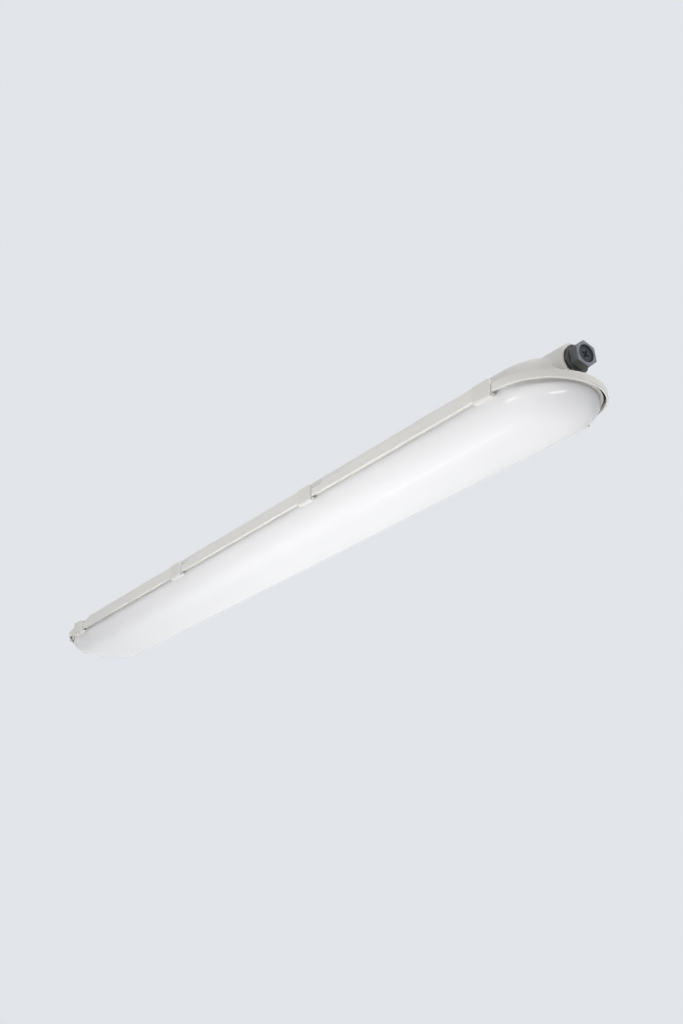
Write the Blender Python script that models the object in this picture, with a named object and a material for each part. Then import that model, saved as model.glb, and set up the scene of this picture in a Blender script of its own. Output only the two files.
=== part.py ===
"""Vapor tight light fixture: a long moulded housing with an opal diffuser, eight clips and a cable gland.

Metres, +Z up. The origin is on the ceiling plane, in the middle of the housing's flat back. X runs along
the fixture towards the gland. The front is the -Y side. Heights are measured up from the rim's lower edge
and go through level() to become Z.
"""
import math
from collections import namedtuple

import bmesh
import bpy
from mathutils import Matrix, Vector

# Overall sizes
LENGTH = 1.171
RIM_WIDTH = 0.130
BACK_HEIGHT = 0.049
CLEARANCE = 0.0003
OVERRUN = 0.002

# Housing
RIM_HEIGHT = 0.009
LIP_THICKNESS = 0.0020
SIDE_WALL_HEIGHT = 0.0150
SIDE_WALL_DEPTH = 0.0108
SIDE_WALL_CHAMFER = 0.0055
TUB_BASE_INSET = 0.0075
TUB_BASE_END_INSET = 0.008
TUB_WALL_INSET = 0.011
TUB_WALL_END_INSET = 0.0195
TUB_WALL_HEIGHT = 0.018
TUB_SLOPE_INSET = 0.0215
TUB_SLOPE_END_INSET = 0.027
TUB_SLOPE_DROP = 0.018
SHOULDER_INSET = 0.035
SHOULDER_END_INSET = 0.0375
SHOULDER_DROP = 0.0069
SHOULDER_NOSE = 0.0573
RAIL_INSET = 0.0455
RAIL_END_INSET = 0.0655
WALL = 0.0026
BACK_WALL = 0.0038
RAIL_WALL = 0.005
CHANNEL_ROOF = 0.0018
CHANNEL_WIDTH = 0.0064
CHANNEL_RIB = 0.0014
CHANNEL_RIB_DROP = 0.0023

# Diffuser and gasket
DIFFUSER_GAP = 0.0055
DIFFUSER_END_GAP = 0.0069
DIFFUSER_WALL = 0.002
DIFFUSER_DEPTH = 0.026
FLANGE_WIDTH = 0.0037
FLANGE_THICKNESS = 0.0018
GASKET_THICKNESS = 0.0022

# Clips
CLIPS_PER_SIDE = 4
CLIP_END_INSET = 0.0863
CLIP_ROW_OFFSET = 0.0038
CLIP_WIDTH = 0.027
CLIP_PLATE = 0.0022
CLIP_TOP = 0.0146
CLIP_BOTTOM = 0.0053
CLIP_TOE_RISE = 0.0007
CLIP_FOOT_DROP = 0.0006
CLIP_FOOT_REACH = 0.0038
CLIP_FOOT_ROUND = 0.0012
CLIP_CORNER = 0.0030
CLIP_HOLE = 0.0012
CLIP_HOLE_INSET = 0.0024
CLIP_HOLE_HEIGHT = 0.0020
CLIP_HOLE_DEPTH = 0.0015
CLIP_TIP_WIDTH = 0.018
CLIP_TIP_THICKNESS = 0.0019
HINGE_INSET = 0.0026
HINGE_HEIGHT = 0.0118
HINGE_BARREL = 0.0019
HINGE_BARREL_WIDTH = 0.014
HINGE_PIN = 0.00115
HINGE_LUG = 0.003
HINGE_LUG_TOP = 0.0023
HINGE_LUG_FRONT = 0.0023
HINGE_LUG_CHAMFER = 0.0016
POCKET_EXTRA = 0.0213
NOTCH_HEIGHT = 0.0036

# Cable entry
GLAND_HEIGHT = 0.0303
BOSS_RADIUS = 0.0185
BOSS_END_INSET = 0.0161
BOSS_WALL = 0.004
BOSS_BORE = 0.0150
BOSS_ROOT = 0.058
THREAD_RADIUS = 0.010
GLAND_BORE = 0.0055
SEAL_RADIUS = 0.0148
SEAL_THICKNESS = 0.0020
COLLAR_ACROSS_FLATS = 0.0278
COLLAR_THICKNESS = 0.0032
COLLAR_TURN = math.radians(13)
SHANK_LENGTH = 0.0125
NECK_RADIUS = 0.0092
NECK_LENGTH = 0.0060
LOCKNUT_ACROSS_FLATS = 0.024
LOCKNUT_THICKNESS = 0.0045
CAP_ACROSS_FLATS = 0.0253
CAP_LENGTH = 0.0115
CAP_CHAMFER = 0.0006
CAP_TURN = math.radians(39.8)
INSERT_RADIUS = 0.0092
INSERT_THICKNESS = 0.0030
INSERT_RECESS = 0.0020
SLIT_LENGTH = 0.0085
SLIT_WIDTH = 0.0019
SLIT_DEPTH = 0.0022
SLIT_TURN = math.radians(65)

# Brackets
BRACKET_END_INSET = 0.2355
BRACKET_LENGTH = 0.040
BRACKET_THICKNESS = 0.0015
BRACKET_TRAVEL = 0.015
BRACKET_LEG = 0.006
BRACKET_HOOK = 0.0012
BRACKET_HOLE = 0.0026
BRACKET_HOLE_SPACING = 0.022
HOOK_GROOVE = 0.0016

# Gear tray and what it carries
TRAY_END_INSET = 0.1075
TRAY_SIDE_INSET = 0.023
TRAY_SHEET = 0.001
TRAY_HEIGHT = 0.010
TRAY_FLANGE = 0.008
POST_END_INSET = 0.038
POST_SIDE_INSET = 0.012
POST_RADIUS = 0.0036
POST_BORE_DEPTH = 0.010
POST_TOP_DROP = 0.004
SCREW_SHANK = 0.0014
SCREW_HEAD = 0.0030
SCREW_HEAD_HEIGHT = 0.0018
SCREW_HEAD_CHAMFER = 0.0007
SCREW_LENGTH = 0.0075
BOARD_END_INSET = 0.003
BOARD_WIDTH_SHARE = 0.333
BOARD_THICKNESS = 0.0016
BOARD_GAP = 0.010
BOARD_SCREW_SHARE = 0.32
BOARD_SCREW_INSET = 0.025
CHIP_COUNT = 24
CHIP_SIZE = 0.003
CHIP_HEIGHT = 0.0007
LINK_LENGTH = 0.024
LINK_WIDTH = 0.006
LINK_HEIGHT = 0.0029
CONNECTOR_LENGTH = 0.010
CONNECTOR_WIDTH = 0.008
CONNECTOR_RUN = 0.045
DRIVER_LENGTH_SHARE = 0.565
DRIVER_WIDTH_SHARE = 0.31
DRIVER_TOP_GAP = 0.0007
DRIVER_RUN = 0.045
GEAR_SHIFT_SHARE = 0.2976
DRIVER_FOOT = 0.008
DRIVER_FOOT_THICKNESS = 0.0015
DRIVER_BEVEL = 0.0015
TERMINAL_LENGTH = 0.026
TERMINAL_WIDTH_SHARE = 0.333
TERMINAL_DROP = 0.003
TERMINAL_END_INSET = 0.065
TERMINAL_PITCH_SHARE = 0.32
TERMINAL_ENTRY = 0.0020
TERMINAL_ENTRY_DEPTH = 0.008
TERMINAL_ENTRY_SHARE = 0.375
TERMINAL_SCREW = 0.0020
TERMINAL_SCREW_HEIGHT = 0.003
EARTH_END_INSET = 0.098
EARTH_SHARE = 0.333
SUPPLY_WIRE = 0.0011
LED_WIRE = 0.0009
LED_WIRE_PITCH = 0.004
WIRE_SAG = 0.003
WIRE_HOLE = 0.005
WIRE_HOLE_SHARE = 0.256

# Smoothness of round pieces
ARC_STEPS = 20
BOWL_STEPS = 8
ROUND_SIDES = 24
SMALL_SIDES = 12
CORNER_STEPS = 3
BOWL_CROWN_SHARE = 4.52
BOWL_CORNER_SHARE = 1.3
BOWL_END_SHARE = 1.81
BOWL_SQUARE_SHARE = 0.8
SHARP_ANGLE = math.radians(32)

# Worked out from the sizes above
HALF_LENGTH = LENGTH / 2
RIM_RADIUS = RIM_WIDTH / 2
CHANNEL_HEIGHT = RIM_HEIGHT - CHANNEL_ROOF
GASKET_TOP = CHANNEL_HEIGHT - CLEARANCE
FLANGE_TOP = GASKET_TOP - GASKET_THICKNESS - CLEARANCE
FLANGE_BOTTOM = FLANGE_TOP - FLANGE_THICKNESS
BOWL_HALF_WIDTH = RIM_RADIUS - LIP_THICKNESS - DIFFUSER_GAP
BOWL_END = HALF_LENGTH - LIP_THICKNESS - DIFFUSER_END_GAP
HINGE_Y = RIM_RADIUS - HINGE_INSET
PLATE_BACK = RIM_RADIUS + CLEARANCE
BOSS_END = HALF_LENGTH - BOSS_END_INSET
RAIL_HALF_WIDTH = RIM_RADIUS - RAIL_INSET
SHOULDER_HEIGHT = BACK_HEIGHT - SHOULDER_DROP
TUB_SLOPE_HEIGHT = BACK_HEIGHT - TUB_SLOPE_DROP
BRACKET_X = HALF_LENGTH - BRACKET_END_INSET
CLIP_SPACING = (LENGTH - 2 * CLIP_END_INSET) / (CLIPS_PER_SIDE - 1)
TRAY_LENGTH = LENGTH - 2 * TRAY_END_INSET
TRAY_END = TRAY_LENGTH / 2
TRAY_WIDTH = RIM_WIDTH - 2 * TRAY_SIDE_INSET
POST_X = TRAY_END - POST_END_INSET
POST_Y = TRAY_WIDTH / 2 - POST_SIDE_INSET
GEAR_SHIFT = TRAY_WIDTH * GEAR_SHIFT_SHARE
DRIVER_WIDTH = TRAY_WIDTH * DRIVER_WIDTH_SHARE
TERMINAL_WIDTH = TRAY_WIDTH * TERMINAL_WIDTH_SHARE
TERMINAL_PITCH = TERMINAL_WIDTH * TERMINAL_PITCH_SHARE
BOARD_WIDTH = TRAY_WIDTH * BOARD_WIDTH_SHARE
BOARD_SCREW_Y = BOARD_WIDTH * BOARD_SCREW_SHARE
BOARD_LENGTH = TRAY_END - BOARD_GAP / 2 - BOARD_END_INSET
TERMINAL_X = TRAY_END - TERMINAL_END_INSET
DRIVER_END = TERMINAL_X - TERMINAL_LENGTH / 2 - DRIVER_RUN
DRIVER_LENGTH = TRAY_END * DRIVER_LENGTH_SHARE
DRIVER_START = DRIVER_END - DRIVER_LENGTH
CONNECTOR_X = DRIVER_START - CONNECTOR_RUN
EARTH_X = TRAY_END - EARTH_END_INSET
EARTH_Y = TRAY_WIDTH * EARTH_SHARE
WIRE_HOLE_Y = TRAY_WIDTH * WIRE_HOLE_SHARE
TRAY_TOP = TRAY_HEIGHT + TRAY_SHEET
HALF_TRAY = TRAY_WIDTH / 2
BOARD_TOP = TRAY_HEIGHT - CLEARANCE
BOARD_BOTTOM = BOARD_TOP - BOARD_THICKNESS
ON_TRAY = TRAY_TOP + CLEARANCE
DRIVER_HEIGHT = TUB_SLOPE_HEIGHT - DRIVER_TOP_GAP - ON_TRAY
TERMINAL_HEIGHT = DRIVER_HEIGHT - TERMINAL_DROP
TERMINAL_ENTRY_HEIGHT = TERMINAL_HEIGHT * TERMINAL_ENTRY_SHARE

Level = namedtuple("Level", "half_width end nose height squareness", defaults=(0,))


def level(height):
    """Z of a height above the rim's lower edge."""
    return height - BACK_HEIGHT


def clear_scene():
    for item in list(bpy.data.objects):
        bpy.data.objects.remove(item, do_unlink=True)


def new_collection(name):
    collection = bpy.data.collections.new(name)
    bpy.context.scene.collection.children.link(collection)
    return collection


def new_material(name, colour, roughness, metallic=0.0):
    material = bpy.data.materials.new(name)
    material.use_nodes = True
    shader = material.node_tree.nodes["Principled BSDF"]
    shader.inputs["Base Color"].default_value = (*colour, 1.0)
    shader.inputs["Roughness"].default_value = roughness
    shader.inputs["Metallic"].default_value = metallic
    return material


def finish_mesh(shape, name):
    """Turns a bmesh into a mesh with its faces pointing out."""
    bmesh.ops.recalc_face_normals(shape, faces=shape.faces)
    mesh = bpy.data.meshes.new(name)
    shape.to_mesh(mesh)
    shape.free()
    return mesh


def add_box(shape, low, high):
    """Adds a box between two corners, given as heights and not as Z."""
    size = [b - a for a, b in zip(low, high)]
    middle = [(a + b) / 2 for a, b in zip(low, high)]
    middle[2] = level(middle[2])
    matrix = Matrix.Translation(middle) @ Matrix.Diagonal((*size, 1.0))
    bmesh.ops.create_cube(shape, size=1.0, matrix=matrix)


def add_rod(shape, start, axis, length, radius, sides, turn=0.0):
    """Adds a cylinder or a prism that starts at a point (with a height) and runs along x or z."""
    place = Matrix.Translation((start[0], start[1], level(start[2])))
    tilt = Matrix.Rotation(math.radians(90), 4, "Y") if axis == "x" else Matrix.Identity(4)
    spin = Matrix.Rotation(turn, 4, "Z")
    shift = Matrix.Translation((0, 0, length / 2))
    bmesh.ops.create_cone(
        shape, cap_ends=True, segments=sides, radius1=radius, radius2=radius, depth=length,
        matrix=place @ tilt @ shift @ spin)


def add_prism(shape, outline, x_start, x_end):
    """Adds an outline of (y, height) points, extruded along X."""
    corners = [shape.verts.new((x_start, y, level(height))) for y, height in outline]
    face = shape.faces.new(corners)
    grown = bmesh.ops.extrude_face_region(shape, geom=[face])
    moved = [item for item in grown["geom"] if isinstance(item, bmesh.types.BMVert)]
    bmesh.ops.translate(shape, verts=moved, vec=(x_end - x_start, 0, 0))


def add_side_prism(shape, outline, y_start, y_end):
    """Adds an outline of (x, height) points, extruded along Y."""
    corners = [shape.verts.new((x, y_start, level(height))) for x, height in outline]
    face = shape.faces.new(corners)
    grown = bmesh.ops.extrude_face_region(shape, geom=[face])
    moved = [item for item in grown["geom"] if isinstance(item, bmesh.types.BMVert)]
    bmesh.ops.translate(shape, verts=moved, vec=(0, y_end - y_start, 0))


def outline_points(item):
    """Plan outline of a level: two straight sides and two half-elliptic ends, squarer on request."""
    points = []
    power = 2 / (2 + item.squareness)
    for end in (1, -1):
        for step in range(ARC_STEPS + 1):
            angle = math.pi * (step / ARC_STEPS - 1 / 2)
            x = item.end - item.nose + item.nose * max(math.cos(angle), 0) ** power
            y = item.half_width * math.copysign(abs(math.sin(angle)) ** power, angle)
            points.append((end * x, end * y, level(item.height)))
    return points


def loft(levels, closed_ring=False):
    """Joins the outlines of a list of levels, with a cap on both ends or as a closed ring."""
    shape = bmesh.new()
    rings = [[shape.verts.new(point) for point in outline_points(item)] for item in levels]
    pairs = list(zip(rings, rings[1:]))
    if closed_ring:
        pairs.append((rings[-1], rings[0]))
    else:
        shape.faces.new(rings[0])
        shape.faces.new(rings[-1])
    for ring, following in pairs:
        for index in range(len(ring)):
            after = (index + 1) % len(ring)
            shape.faces.new((ring[index], ring[after], following[after], following[index]))
    return shape


def combined(name, base, joined=(), cuts=()):
    """Mesh of a base shape with other shapes joined to it, and then others cut out of it."""
    tools = new_collection(name + "_tools")
    target = bpy.data.objects.new(name + "_base", finish_mesh(base, name + "_base"))
    tools.objects.link(target)
    steps = [("UNION", shape) for shape in joined] + [("DIFFERENCE", shape) for shape in cuts]
    for operation, shape in steps:
        tool = bpy.data.objects.new(name + "_tool", finish_mesh(shape, name + "_tool"))
        tools.objects.link(tool)
        modifier = target.modifiers.new("boolean", "BOOLEAN")
        modifier.operation = operation
        modifier.object = tool
    bpy.context.view_layer.update()
    depsgraph = bpy.context.evaluated_depsgraph_get()
    mesh = bpy.data.meshes.new_from_object(target.evaluated_get(depsgraph))
    mesh.name = name
    for item in list(tools.objects):
        bpy.data.objects.remove(item, do_unlink=True)
    bpy.data.collections.remove(tools)
    return mesh


def place(name, mesh, material, origin=(0, 0, 0), turn=0.0):
    """Makes a node from a mesh whose own zero is at the origin given."""
    mesh.materials.clear()
    mesh.materials.append(material)
    mesh.shade_smooth()
    mesh.set_sharp_from_angle(angle=SHARP_ANGLE)
    item = bpy.data.objects.new(name, mesh)
    item.location = origin
    item.rotation_euler = (0, 0, turn)
    PARTS.objects.link(item)
    return item


def recentred(mesh, origin):
    """Moves a mesh that was built in place so that its zero is at the origin given."""
    mesh.transform(Matrix.Translation(-Vector(origin)))
    return mesh


def clip_places():
    """X of the middle of each clip in a row, from the gland end."""
    first = CLIP_SPACING * (CLIPS_PER_SIDE - 1) / 2
    return [first - CLIP_SPACING * index + CLIP_ROW_OFFSET for index in range(CLIPS_PER_SIDE)]


def round_corner(centre_y, centre_height, radius, first_quarter):
    """Points of a quarter circle that starts at a number of quarter turns."""
    points = []
    for step in range(CORNER_STEPS + 1):
        angle = math.pi / 2 * (first_quarter + step / CORNER_STEPS)
        points.append((centre_y + radius * math.cos(angle), centre_height + radius * math.sin(angle)))
    return points


def housing_levels():
    """Section of the housing from the middle of its back, round the rim, to the cavity's ceiling."""
    half = RIM_RADIUS
    inner_rim = half - LIP_THICKNESS
    rib_out = inner_rim - CHANNEL_WIDTH
    rib_in = rib_out - CHANNEL_RIB
    rib_bottom = CHANNEL_HEIGHT - CHANNEL_RIB_DROP
    rail_nose = SHOULDER_NOSE - (RAIL_END_INSET - SHOULDER_END_INSET)

    def outer(inset, end_inset, height, nose=None):
        return Level(half - inset, HALF_LENGTH - end_inset, nose or half - inset, height)

    def inner(inset, end_inset, height, nose=None):
        return outer(inset + WALL, end_inset + WALL, height - WALL, nose and nose - WALL)

    def ring(half_width, height):
        return Level(half_width, HALF_LENGTH - half + half_width, half_width, height)

    rail = Level(RAIL_HALF_WIDTH, HALF_LENGTH - RAIL_END_INSET, rail_nose, BACK_HEIGHT)
    hollow_half = RAIL_HALF_WIDTH - RAIL_WALL
    hollow = Level(hollow_half, rail.end - RAIL_WALL, rail_nose - RAIL_WALL, BACK_HEIGHT - BACK_WALL)
    ceiling = inner(SHOULDER_INSET, SHOULDER_END_INSET, SHOULDER_HEIGHT, SHOULDER_NOSE)
    return [
        rail,
        rail._replace(height=SHOULDER_HEIGHT),
        outer(SHOULDER_INSET, SHOULDER_END_INSET, SHOULDER_HEIGHT, SHOULDER_NOSE),
        outer(TUB_SLOPE_INSET, TUB_SLOPE_END_INSET, TUB_SLOPE_HEIGHT, SHOULDER_NOSE),
        outer(TUB_WALL_INSET, TUB_WALL_END_INSET, TUB_WALL_HEIGHT),
        outer(TUB_BASE_INSET, TUB_BASE_END_INSET, RIM_HEIGHT),
        ring(half, RIM_HEIGHT),
        ring(half, 0),
        ring(inner_rim, 0),
        ring(inner_rim, CHANNEL_HEIGHT),
        ring(rib_out, CHANNEL_HEIGHT),
        ring(rib_out, rib_bottom),
        ring(rib_in, rib_bottom),
        inner(TUB_WALL_INSET, TUB_WALL_END_INSET, TUB_WALL_HEIGHT),
        inner(TUB_SLOPE_INSET, TUB_SLOPE_END_INSET, TUB_SLOPE_HEIGHT, SHOULDER_NOSE),
        ceiling,
        hollow._replace(height=ceiling.height),
        hollow,
    ]


def side_wall_runs():
    """Start and end X of each taller wall, which runs from one clip's pocket to the next clip."""
    places = clip_places()
    half = CLIP_WIDTH / 2
    return [(low + half + POCKET_EXTRA, high - half - CLEARANCE) for high, low in zip(places, places[1:])]


def side_walls():
    """Taller walls along both straight sides, each chamfered where its pocket ends."""
    shape = bmesh.new()
    bottom = RIM_HEIGHT - CHANNEL_ROOF / 2
    for x_start, x_end in side_wall_runs():
        outline = [(x_start, bottom), (x_end, bottom), (x_end, SIDE_WALL_HEIGHT),
                   (x_start + SIDE_WALL_CHAMFER, SIDE_WALL_HEIGHT), (x_start, RIM_HEIGHT)]
        for side in (-1, 1):
            add_side_prism(shape, outline, side * RIM_RADIUS, side * (RIM_RADIUS - SIDE_WALL_DEPTH))
    return shape


def hinge_lugs():
    """Two lugs behind each clip, which carry its hinge pins."""
    shape = bmesh.new()
    front = HINGE_Y + HINGE_LUG_FRONT
    back = RIM_RADIUS - SIDE_WALL_DEPTH
    bottom = RIM_HEIGHT - CHANNEL_ROOF / 2
    top = HINGE_HEIGHT + HINGE_LUG_TOP
    outline = [(front, bottom), (front, top - HINGE_LUG_CHAMFER), (front - HINGE_LUG_CHAMFER, top),
               (back, top), (back, bottom)]
    inside = HINGE_BARREL_WIDTH / 2 + CLEARANCE
    for x in clip_places():
        for side in (-1, 1):
            mirrored = [(side * y, height) for y, height in outline]
            add_prism(shape, mirrored, x + inside, x + inside + HINGE_LUG)
            add_prism(shape, mirrored, x - inside - HINGE_LUG, x - inside)
    return shape


def hinge_bores():
    shape = bmesh.new()
    reach = HINGE_BARREL_WIDTH / 2 + CLEARANCE + HINGE_LUG + OVERRUN
    for x in clip_places():
        for side in (-1, 1):
            start = (x - reach, side * HINGE_Y, HINGE_HEIGHT)
            add_rod(shape, start, "x", 2 * reach, HINGE_PIN + CLEARANCE, SMALL_SIDES)
    return shape


def lip_notches():
    """Notches in the lip that let each clip's tip swing out."""
    shape = bmesh.new()
    half = CLIP_TIP_WIDTH / 2 + CLEARANCE
    for x in clip_places():
        for side in (-1, 1):
            ends = sorted((side * (RIM_RADIUS + OVERRUN), side * (RIM_RADIUS - LIP_THICKNESS - OVERRUN / 2)))
            add_box(shape, (x - half, ends[0], -OVERRUN), (x + half, ends[1], NOTCH_HEIGHT))
    return shape


def boss():
    shape = bmesh.new()
    start = (BOSS_END - BOSS_ROOT, 0, GLAND_HEIGHT)
    add_rod(shape, start, "x", BOSS_ROOT, BOSS_RADIUS, 2 * ROUND_SIDES)
    return shape


def boss_hollow():
    """Room inside the boss, which opens into the cavity and stops at the end wall."""
    shape = bmesh.new()
    start = (BOSS_END - BOSS_ROOT - OVERRUN, 0, GLAND_HEIGHT)
    add_rod(shape, start, "x", BOSS_ROOT + OVERRUN - BOSS_WALL, BOSS_BORE, ROUND_SIDES)
    return shape


def boss_entry():
    shape = bmesh.new()
    start = (BOSS_END - BOSS_WALL - OVERRUN, 0, GLAND_HEIGHT)
    add_rod(shape, start, "x", BOSS_WALL + 2 * OVERRUN, THREAD_RADIUS + CLEARANCE, ROUND_SIDES)
    return shape


def post_places():
    return [(x, y) for x in (-POST_X, 0, POST_X) for y in (-POST_Y, POST_Y)]


def tray_posts():
    """Posts that hang from the roof and carry the gear tray."""
    shape = bmesh.new()
    bottom = TRAY_TOP + CLEARANCE
    length = SHOULDER_HEIGHT - POST_TOP_DROP - bottom
    for x, y in post_places():
        add_rod(shape, (x, y, bottom), "z", length, POST_RADIUS, SMALL_SIDES)
    return shape


def post_bores():
    shape = bmesh.new()
    for x, y in post_places():
        add_rod(shape, (x, y, TRAY_TOP), "z", POST_BORE_DEPTH, SCREW_SHANK + CLEARANCE, SMALL_SIDES)
    return shape


def bracket_recesses():
    """Lowered stretch of the rail, with a groove down each side, for each bracket and its travel."""
    shape = bmesh.new()
    half = BRACKET_LENGTH / 2 + BRACKET_TRAVEL + CLEARANCE
    floor = BACK_HEIGHT - BRACKET_THICKNESS - CLEARANCE
    wide = RAIL_HALF_WIDTH + OVERRUN
    groove_in = RAIL_HALF_WIDTH - HOOK_GROOVE
    groove_top = BACK_HEIGHT - BRACKET_LEG + BRACKET_HOOK + CLEARANCE
    groove_bottom = BACK_HEIGHT - BRACKET_LEG - CLEARANCE
    for x in (-BRACKET_X, BRACKET_X):
        add_box(shape, (x - half, -wide, floor), (x + half, wide, BACK_HEIGHT + OVERRUN))
        add_box(shape, (x - half, groove_in, groove_bottom), (x + half, wide, groove_top))
        add_box(shape, (x - half, -wide, groove_bottom), (x + half, -groove_in, groove_top))
    return shape


def make_housing(material):
    joined = [side_walls(), hinge_lugs(), boss(), tray_posts()]
    cuts = [boss_hollow(), boss_entry(), hinge_bores(), lip_notches(), post_bores(), bracket_recesses()]
    place("housing", combined("housing", loft(housing_levels()), joined, cuts), material)


def bowl_levels(inset):
    """Bowl from its upper edge to its bottom, as a rounded section turned round both ends."""
    levels = []
    depth = DIFFUSER_DEPTH - inset
    half_width = BOWL_HALF_WIDTH - inset
    end = BOWL_END - inset
    for step in range(BOWL_STEPS + 1):
        angle = math.pi / 2 * step / BOWL_STEPS
        down = math.sin(angle) ** (2 / BOWL_CORNER_SHARE)
        if step < BOWL_STEPS:
            across = math.cos(angle) ** (2 / BOWL_CROWN_SHARE)
        else:
            across = across / 2
        end_inset = BOWL_END_SHARE * half_width * (1 - across)
        square = BOWL_SQUARE_SHARE * (1 - (1 - down) ** 2)
        levels.append(Level(half_width * across, end - end_inset, half_width * across, -depth * down, square))
    return levels


def make_diffuser(material):
    flange_edge = BOWL_HALF_WIDTH + FLANGE_WIDTH
    inner_edge = BOWL_HALF_WIDTH - DIFFUSER_WALL

    def edge(half_width, height):
        return Level(half_width, BOWL_END + half_width - BOWL_HALF_WIDTH, half_width, height)

    flange = [edge(inner_edge, FLANGE_TOP), edge(flange_edge, FLANGE_TOP),
              edge(flange_edge, FLANGE_BOTTOM), edge(BOWL_HALF_WIDTH, FLANGE_BOTTOM)]
    inside = list(reversed(bowl_levels(DIFFUSER_WALL)))
    outside = bowl_levels(0)
    place("diffuser", finish_mesh(loft(inside + flange + outside), "diffuser"), material)


def make_gasket(material):
    outer = RIM_RADIUS - LIP_THICKNESS - CLEARANCE
    inner = RIM_RADIUS - LIP_THICKNESS - CHANNEL_WIDTH + CLEARANCE

    def edge(half_width, height):
        return Level(half_width, HALF_LENGTH - RIM_RADIUS + half_width, half_width, height)

    bottom = GASKET_TOP - GASKET_THICKNESS
    section = [edge(outer, GASKET_TOP), edge(outer, bottom), edge(inner, bottom), edge(inner, GASKET_TOP)]
    place("gasket", finish_mesh(loft(section, closed_ring=True), "gasket"), material)


def clip_section():
    """Section of a clip on the front side: plate, rounded corner and foot, as (y, height)."""
    plate_front = -(PLATE_BACK + CLIP_PLATE)
    foot_end = -(RIM_RADIUS - LIP_THICKNESS - CLIP_FOOT_REACH)
    toe_bottom = CLIP_TOE_RISE - CLIP_BOTTOM
    outer = round_corner(plate_front + CLIP_CORNER, CLIP_CORNER - CLIP_BOTTOM, CLIP_CORNER, 2)
    toe = round_corner(foot_end - CLIP_FOOT_ROUND, CLIP_FOOT_ROUND + toe_bottom, CLIP_FOOT_ROUND, 3)
    inner = [(foot_end, -CLIP_FOOT_DROP), (-PLATE_BACK, -CLIP_FOOT_DROP)]
    top = round_corner(plate_front + CLIP_FOOT_ROUND, CLIP_TOP - CLIP_FOOT_ROUND, CLIP_FOOT_ROUND, 1)
    return outer + toe + inner + [(-PLATE_BACK, CLIP_TOP)] + top


def clip_mesh():
    """Clip for the front side, with its zero on the hinge axis in the middle of its width."""
    half = CLIP_WIDTH / 2
    base = bmesh.new()
    add_prism(base, clip_section(), -half, half)
    barrel_half = HINGE_BARREL_WIDTH / 2
    web = bmesh.new()
    web_low = HINGE_HEIGHT - HINGE_BARREL
    web_high = HINGE_HEIGHT + HINGE_BARREL
    plate_middle = -(PLATE_BACK + CLIP_PLATE / 2)
    add_box(web, (-barrel_half, plate_middle, web_low), (barrel_half, -HINGE_Y, web_high))
    barrel = bmesh.new()
    add_rod(barrel, (-barrel_half, -HINGE_Y, HINGE_HEIGHT), "x", HINGE_BARREL_WIDTH, HINGE_BARREL,
            SMALL_SIDES)
    pin_half = barrel_half + HINGE_LUG
    pins = bmesh.new()
    add_rod(pins, (-pin_half, -HINGE_Y, HINGE_HEIGHT), "x", 2 * pin_half, HINGE_PIN, SMALL_SIDES)
    tip = bmesh.new()
    foot_end = -(RIM_RADIUS - LIP_THICKNESS - CLIP_FOOT_REACH)
    tip_half = CLIP_TIP_WIDTH / 2
    add_box(tip, (-tip_half, foot_end - CLIP_TIP_THICKNESS, -CLIP_BOTTOM / 2),
            (tip_half, foot_end, FLANGE_BOTTOM - CLEARANCE))
    holes = bmesh.new()
    hole_y = CLIP_HOLE_INSET - PLATE_BACK - CLIP_PLATE
    for start in (-half - OVERRUN, half - CLIP_HOLE_DEPTH):
        add_rod(holes, (start, hole_y, CLIP_HOLE_HEIGHT - CLIP_BOTTOM), "x", CLIP_HOLE_DEPTH + OVERRUN,
                CLIP_HOLE, SMALL_SIDES)
    mesh = combined("clip", base, [web, barrel, pins, tip], [holes])
    return recentred(mesh, (0, -HINGE_Y, level(HINGE_HEIGHT)))


def make_clips(material):
    mesh = clip_mesh()
    for number, x in enumerate(clip_places(), start=1):
        height = level(HINGE_HEIGHT)
        place(f"clip_front_{number}", mesh, material, (x, -HINGE_Y, height))
        place(f"clip_back_{number}", mesh, material, (x, HINGE_Y, height), math.pi)


def tube(x_start, length, radius, bore, sides=ROUND_SIDES, turn=0.0):
    """Mesh of a round or hexagonal sleeve on the gland's axis."""
    base = bmesh.new()
    add_rod(base, (x_start, 0, GLAND_HEIGHT), "x", length, radius, sides, turn)
    hole = bmesh.new()
    add_rod(hole, (x_start - OVERRUN, 0, GLAND_HEIGHT), "x", length + 2 * OVERRUN, bore, ROUND_SIDES)
    return base, hole


def corner_radius(across_flats):
    return across_flats / 2 / math.cos(math.pi / 6)


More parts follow.
